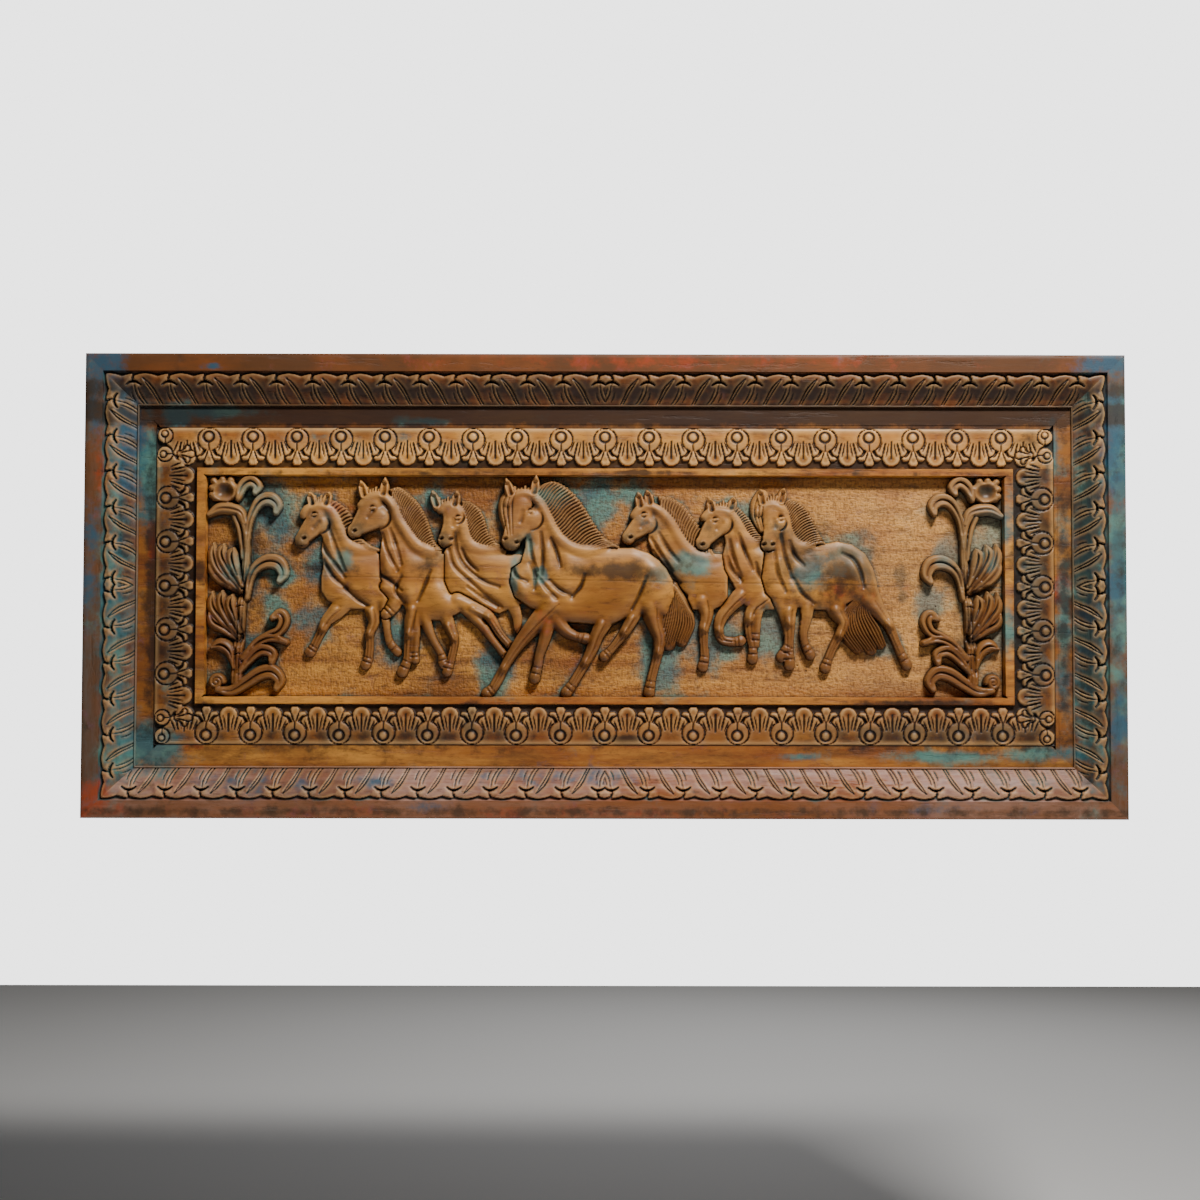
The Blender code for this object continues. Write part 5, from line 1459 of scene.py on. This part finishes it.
def make_rail(side):
    """One side of the frame: a worn outer flat, the leaf moulding, the lip and the plain hidden faces."""
    sizes = bpy.context.scene.panel_sizes
    half = np.array([HALF_LENGTH, HALF_HEIGHT])
    long_run = side in ("bottom", "top")
    half_side = half[0] if long_run else half[1]
    flat, lip = sizes.outer_flat, sizes.lip_width
    leaves = sizes.long_leaves if long_run else sizes.short_leaves
    skin = Skin(f"{side}_rail")
    bevel, rebate = EDGE_BEVEL, RAIL_WIDTH - REBATE_WIDTH
    back = [(rebate, 0.0), (0.0, 0.0), (0.0, 0.02), (0.0, 0.04), (0.0, RAIL_DEPTH - bevel),
            (0.3 * bevel, RAIL_DEPTH - 0.3 * bevel), (bevel, RAIL_DEPTH)]
    back += [(bevel + t * (flat - bevel), RAIL_DEPTH) for t in np.linspace(0.2, 1, 5)]
    mitred_strip(skin, side, half, back, STRIP_STEP, proud=0.1, aged=OUTER_AGE[side])
    inner = RAIL_WIDTH - lip
    low = slope_depth(inner, flat, lip)
    rest = [(inner, low), (inner + 0.2 * lip, low + 0.002), (RAIL_WIDTH - 0.0006, low + 0.002),
            (RAIL_WIDTH, low),
            (RAIL_WIDTH, REBATE_DEPTH), (rebate, REBATE_DEPTH), (rebate, 0.0)]
    mitred_strip(skin, side, half, rest, STRIP_STEP, proud=0.3)
    u, v, height = moulding_relief(half_side, leaves, flat, lip, sizes.moulding_step)
    hollow, proud = hollows_and_ridges(height, 2, 1.2)
    gu, gv = np.meshgrid(u, v)
    gu, gv = gu / 1000, gv / 1000
    span = half_side - gv
    snapped = np.clip(gu, -span, span)
    depth = slope_depth(gv, flat, lip) + height / 1000
    depth[0] = RAIL_DEPTH
    depth[-1] = low
    widths = snapped[:, 1:] - snapped[:, :-1]
    keep = np.maximum(widths[:-1], widths[1:]) > 1e-6
    skin.grid(on_side(side, half, snapped, gv, depth), keep, hollow=hollow, proud=proud, aged=RAIL_TONE_AND_SHADE[side])
    node = {"top": "frame_rail_top", "bottom": "frame_rail_bottom", "left": "frame_stile_left",
            "right": "frame_stile_right"}[side]
    skin.make(woods()[side], node)


# Settings
class PanelSizes(bpy.types.PropertyGroup):
    """Sizes of the panel's carved parts."""
    outer_flat: FloatProperty(name="Outer flat", description="Plain outer band of the frame", default=0.031,
                              min=0.01, max=0.06, unit="LENGTH")
    lip_width: FloatProperty(name="Lip", description="Thin lip between moulding and board", default=0.003,
                             min=0.001, max=0.01, unit="LENGTH")
    band_side: FloatProperty(name="Band at the ends", description="Flat band left and right", default=0.030,
                             min=0.01, max=0.06, unit="LENGTH")
    band_top: FloatProperty(name="Band above and below", description="Flat band at top and bottom",
                            default=0.037,
                            min=0.01, max=0.06, unit="LENGTH")
    band_depth: FloatProperty(name="Band depth", description="From the back to the flat band", default=0.034,
                              min=0.03, max=0.05, unit="LENGTH")
    tongue_depth: FloatProperty(name="Tongue depth", description="Thickness of the board's hidden edge",
                                default=0.022, min=0.01, max=0.03, unit="LENGTH")
    border_width: FloatProperty(name="Border width", description="Width of the carved border", default=0.073,
                                min=0.04, max=0.1, unit="LENGTH")
    border_ground: FloatProperty(name="Border ground", description="From the back to the border's ground",
                                 default=0.030, min=0.02, max=0.04, unit="LENGTH")
    fillet_side: FloatProperty(name="Fillet at the ends", description="Fillet left and right", default=0.015,
                               min=0.005, max=0.03, unit="LENGTH")
    fillet_top: FloatProperty(name="Fillet above and below", description="Fillet at top and bottom",
                              default=0.011,
                              min=0.005, max=0.03, unit="LENGTH")
    fillet_depth: FloatProperty(name="Fillet depth", description="From the back to the fillet", default=0.037,
                                min=0.03, max=0.05, unit="LENGTH")
    field_depth: FloatProperty(name="Field depth", description="From the back to the sunk ground",
                               default=0.016,
                               min=0.01, max=0.03, unit="LENGTH")
    slope: FloatProperty(name="Slope", description="How far a cut step leans back", default=0.0015,
                         min=0.0005,
                         max=0.004, unit="LENGTH")
    long_repeats: IntProperty(name="Long repeats",
                              description="Border repeats from the middle of a long side",
                              default=10, min=4, max=20)
    short_repeats: IntProperty(name="Short repeats",
                               description="Border repeats from the middle of a short side",
                               default=3, min=1, max=8)
    long_leaves: IntProperty(name="Long leaves", description="Leaves along a long rail", default=28, min=8,
                             max=60)
    short_leaves: IntProperty(name="Short leaves", description="Leaves along a short rail", default=12, min=4,
                              max=30)
    carving_step: FloatProperty(name="Carving step",
                                description="Spacing of the figures' faces in drawing squares",
                                default=0.78, min=0.5, max=3)
    border_step: FloatProperty(name="Border step", description="Spacing of the border's faces",
                               default=0.0017,
                               min=0.001, max=0.01, unit="LENGTH")
    moulding_step: FloatProperty(name="Moulding step", description="Spacing of the moulding's faces",
                                 default=0.0015,
                                 min=0.001, max=0.01, unit="LENGTH")


def colour(name, description, value):
    return FloatVectorProperty(name=name, description=description, subtype="COLOR", size=3, min=0, max=1,
                               default=value)


class PanelColours(bpy.types.PropertyGroup):
    """Colours of the wood, its paint and its stains."""
    golden: colour("Golden wood", "Lit wood of the field and the figures", (0.88, 0.410, 0.080))
    brown: colour("Brown wood", "Darker grain of the field and the figures", (0.27, 0.085, 0.014))
    russet: colour("Russet", "Red-brown clouds in the wood", (0.30, 0.075, 0.012))
    # Also the painted highlight on upper edges and on slopes towards the light.
    rubbed_and_highlight: colour("Rubbed edges", "Wood where the wax is rubbed away", (0.93, 0.57, 0.24))
    # Also painted shade on the left of the ground, the top band and the top rail.
    chestnut: colour("Chestnut", "Wood that has darkened with age", (0.140, 0.042, 0.008))
    umber: colour("Umber", "Dark streaks in the wood", (0.085, 0.032, 0.012))
    # Also painted shade in hollows, under forms and round the field's edge.
    grime_and_shade: colour("Grime", "Dark wax in the hollows", (0.012, 0.005, 0.002))
    teal: colour("Teal paint", "Worn blue-green paint", (0.008, 0.130, 0.160))
    pale_teal: colour("Pale teal", "Chalky blue-green paint", (0.075, 0.270, 0.240))
    deep_blue: colour("Deep blue", "Strong blue paint on the frame", (0.002, 0.09, 0.16))
    # Also painted shadow on the top band and painted shade on the top moulding.
    ink_and_shadow: colour("Dark stain", "Brown-black stains", (0.012, 0.009, 0.008))
    red_stain: colour("Red stain", "Bright red-brown stains", (0.42, 0.045, 0.008))
    rose: colour("Rose wood", "Pinkish wood of the lower moulding", (0.46, 0.29, 0.24))
    slate: colour("Slate wood", "Grey-brown wood of the upright mouldings", (0.105, 0.125, 0.130))
    # Darker than the wood itself: painted shade on the downward-facing top moulding.
    dark_rail: colour("Dark rail", "Brown wood of the upper moulding", (0.130, 0.040, 0.010))


class StageSettings(bpy.types.PropertyGroup):
    """The camera and the light."""
    lens: FloatProperty(name="Lens", description="Focal length in millimetres", default=60, min=20, max=200)
    distance: FloatProperty(name="Camera distance", description="From the panel's back", default=3.563, min=1,
                            max=10, unit="LENGTH")
    key: FloatProperty(name="Upper light", description="Power of the large lamp above", default=150, min=0,
                       max=1000)
    fill: FloatProperty(name="Front light", description="Power of the lamp beside the camera", default=1.2,
                        min=0,
                        max=1000)
    back: FloatProperty(name="Back light", description="Power in watts of the lamp behind", default=30, min=0)
    air: FloatProperty(name="Surroundings", description="Strength of the pale surroundings", default=0.015,
                       min=0,
                       max=3)


# Operators
class CARVEDPANEL_OT_frame(bpy.types.Operator):
    """Carve the four mitred rails of the frame"""
    bl_idname = "carvedpanel.frame"
    bl_label = "Frame"

    def execute(self, context):
        for side in SIDES:
            make_rail(side)
        return {"FINISHED"}


class CARVEDPANEL_OT_board(bpy.types.Operator):
    """Make the board with its flat band, fillet and back"""
    bl_idname = "carvedpanel.board"
    bl_label = "Board"

    def execute(self, context):
        make_board()
        return {"FINISHED"}


class CARVEDPANEL_OT_border(bpy.types.Operator):
    """Carve the border of discs, flowers and fans"""
    bl_idname = "carvedpanel.border"
    bl_label = "Border"

    def execute(self, context):
        make_border()
        return {"FINISHED"}


class CARVEDPANEL_OT_ground(bpy.types.Operator):
    """Level the sunk ground behind the figures"""
    bl_idname = "carvedpanel.ground"
    bl_label = "Sunk ground"

    def execute(self, context):
        make_ground()
        return {"FINISHED"}


class CARVEDPANEL_OT_horses(bpy.types.Operator):
    """Carve the seven horses"""
    bl_idname = "carvedpanel.horses"
    bl_label = "Horses"

    def execute(self, context):
        make_figures([f"{name}_horse" for name in HORSES])
        return {"FINISHED"}


class CARVEDPANEL_OT_scrolls(bpy.types.Operator):
    """Carve the two flowering scrolls"""
    bl_idname = "carvedpanel.scrolls"
    bl_label = "Scrolls"

    def execute(self, context):
        make_figures(["left_scroll", "right_scroll"])
        return {"FINISHED"}


class CARVEDPANEL_OT_stage(bpy.types.Operator):
    """Set the camera, the pale floor and the light"""
    bl_idname = "carvedpanel.stage"
    bl_label = "Stage"

    def execute(self, context):
        make_stage()
        return {"FINISHED"}


def add_lamp(name, power, size, location, target, colour_of_light):
    data = bpy.data.lights.new(name, "AREA")
    data.shape = "RECTANGLE"
    data.size, data.size_y = size
    data.energy = power
    data.color = colour_of_light
    lamp = bpy.data.objects.new(name, data)
    lamp.location = location
    lamp.rotation_euler = (Vector(location) - Vector(target)).to_track_quat("Z", "Y").to_euler()
    bpy.context.scene.collection.objects.link(lamp)


def make_stage():
    scene = bpy.context.scene
    stage = scene.panel_stage
    data = bpy.data.cameras.new("camera")
    data.lens = stage.lens
    camera = bpy.data.objects.new("camera", data)
    camera.location = (-0.0147, -stage.distance, -0.1763)
    camera.rotation_euler = [math.radians(a) for a in (92.464, -0.106, -0.1)]
    scene.collection.objects.link(camera)
    scene.camera = camera

    mesh = bpy.data.meshes.new("floor")
    reach, level = 4.0, -1.3
    mesh.from_pydata([(-reach, -reach, level), (reach, -reach, level), (reach, reach, level),
                      (-reach, reach, level)],
                     [], [(0, 1, 2, 3)])
    plain = bpy.data.materials.new("pale_floor")
    plain.use_nodes = True
    plain.node_tree.nodes["Principled BSDF"].inputs["Base Color"].default_value = (0.9, 0.9, 0.9, 1)
    plain.node_tree.nodes["Principled BSDF"].inputs["Roughness"].default_value = 0.8
    mesh.materials.append(plain)
    floor = bpy.data.objects.new("floor", mesh)
    scene.collection.objects.link(floor)

    add_lamp("upper_light", stage.key, (0.9, 0.4), (1.1, -2.0, 2.4), (0, 0, 0), (1.0, 0.97, 0.92))
    add_lamp("front_light", stage.fill, (2.5, 2.0), (-0.6, -4.0, 0.9), (0, 0, -0.2), (0.95, 0.97, 1.0))
    add_lamp("back_light", stage.back, (2.5, 2.0), (0.8, 3.6, 1.2), (0, 0, 0), (1.0, 1.0, 1.0))

    world = bpy.data.worlds.new("surroundings")
    world.use_nodes = True
    scene.world = world
    tree = world.node_tree
    background = tree.nodes["Background"]
    background.inputs["Color"].default_value = (1, 1, 1, 1)
    seen = tree.nodes.new("ShaderNodeLightPath").outputs["Is Camera Ray"]
    strength = range_node(tree, seen, 0, 1, stage.air, 3)
    tree.links.new(strength, background.inputs["Strength"])


class CARVEDPANEL_PT_sidebar(bpy.types.Panel):
    bl_label = "Carved Panel"
    bl_space_type = "VIEW_3D"
    bl_region_type = "UI"
    bl_category = "Carved Panel"

    def draw(self, context):
        layout = self.layout
        for operator in OPERATORS:
            layout.operator(operator.bl_idname)
        for title, group in (("Sizes", context.scene.panel_sizes), ("Colours", context.scene.panel_colours),
                             ("Stage", context.scene.panel_stage)):
            box = layout.box()
            box.label(text=title)
            for key in group.__annotations__:
                box.prop(group, key)


OPERATORS = (CARVEDPANEL_OT_frame, CARVEDPANEL_OT_board, CARVEDPANEL_OT_border, CARVEDPANEL_OT_ground,
             CARVEDPANEL_OT_horses, CARVEDPANEL_OT_scrolls, CARVEDPANEL_OT_stage)
GROUPS = {"panel_sizes": PanelSizes, "panel_colours": PanelColours, "panel_stage": StageSettings}


def register():
    for cls in (*GROUPS.values(), *OPERATORS, CARVEDPANEL_PT_sidebar):
        bpy.utils.register_class(cls)
    for name, group in GROUPS.items():
        setattr(bpy.types.Scene, name, PointerProperty(type=group))


def unregister():
    for name in GROUPS:
        delattr(bpy.types.Scene, name)
    for cls in (CARVEDPANEL_PT_sidebar, *OPERATORS, *GROUPS.values()):
        bpy.utils.unregister_class(cls)


def main():
    register()
    bpy.ops.carvedpanel.frame()
    bpy.ops.carvedpanel.board()
    bpy.ops.carvedpanel.border()
    bpy.ops.carvedpanel.ground()
    bpy.ops.carvedpanel.horses()
    bpy.ops.carvedpanel.scrolls()
    bpy.ops.carvedpanel.stage()


if __name__ == "__main__":
    main()
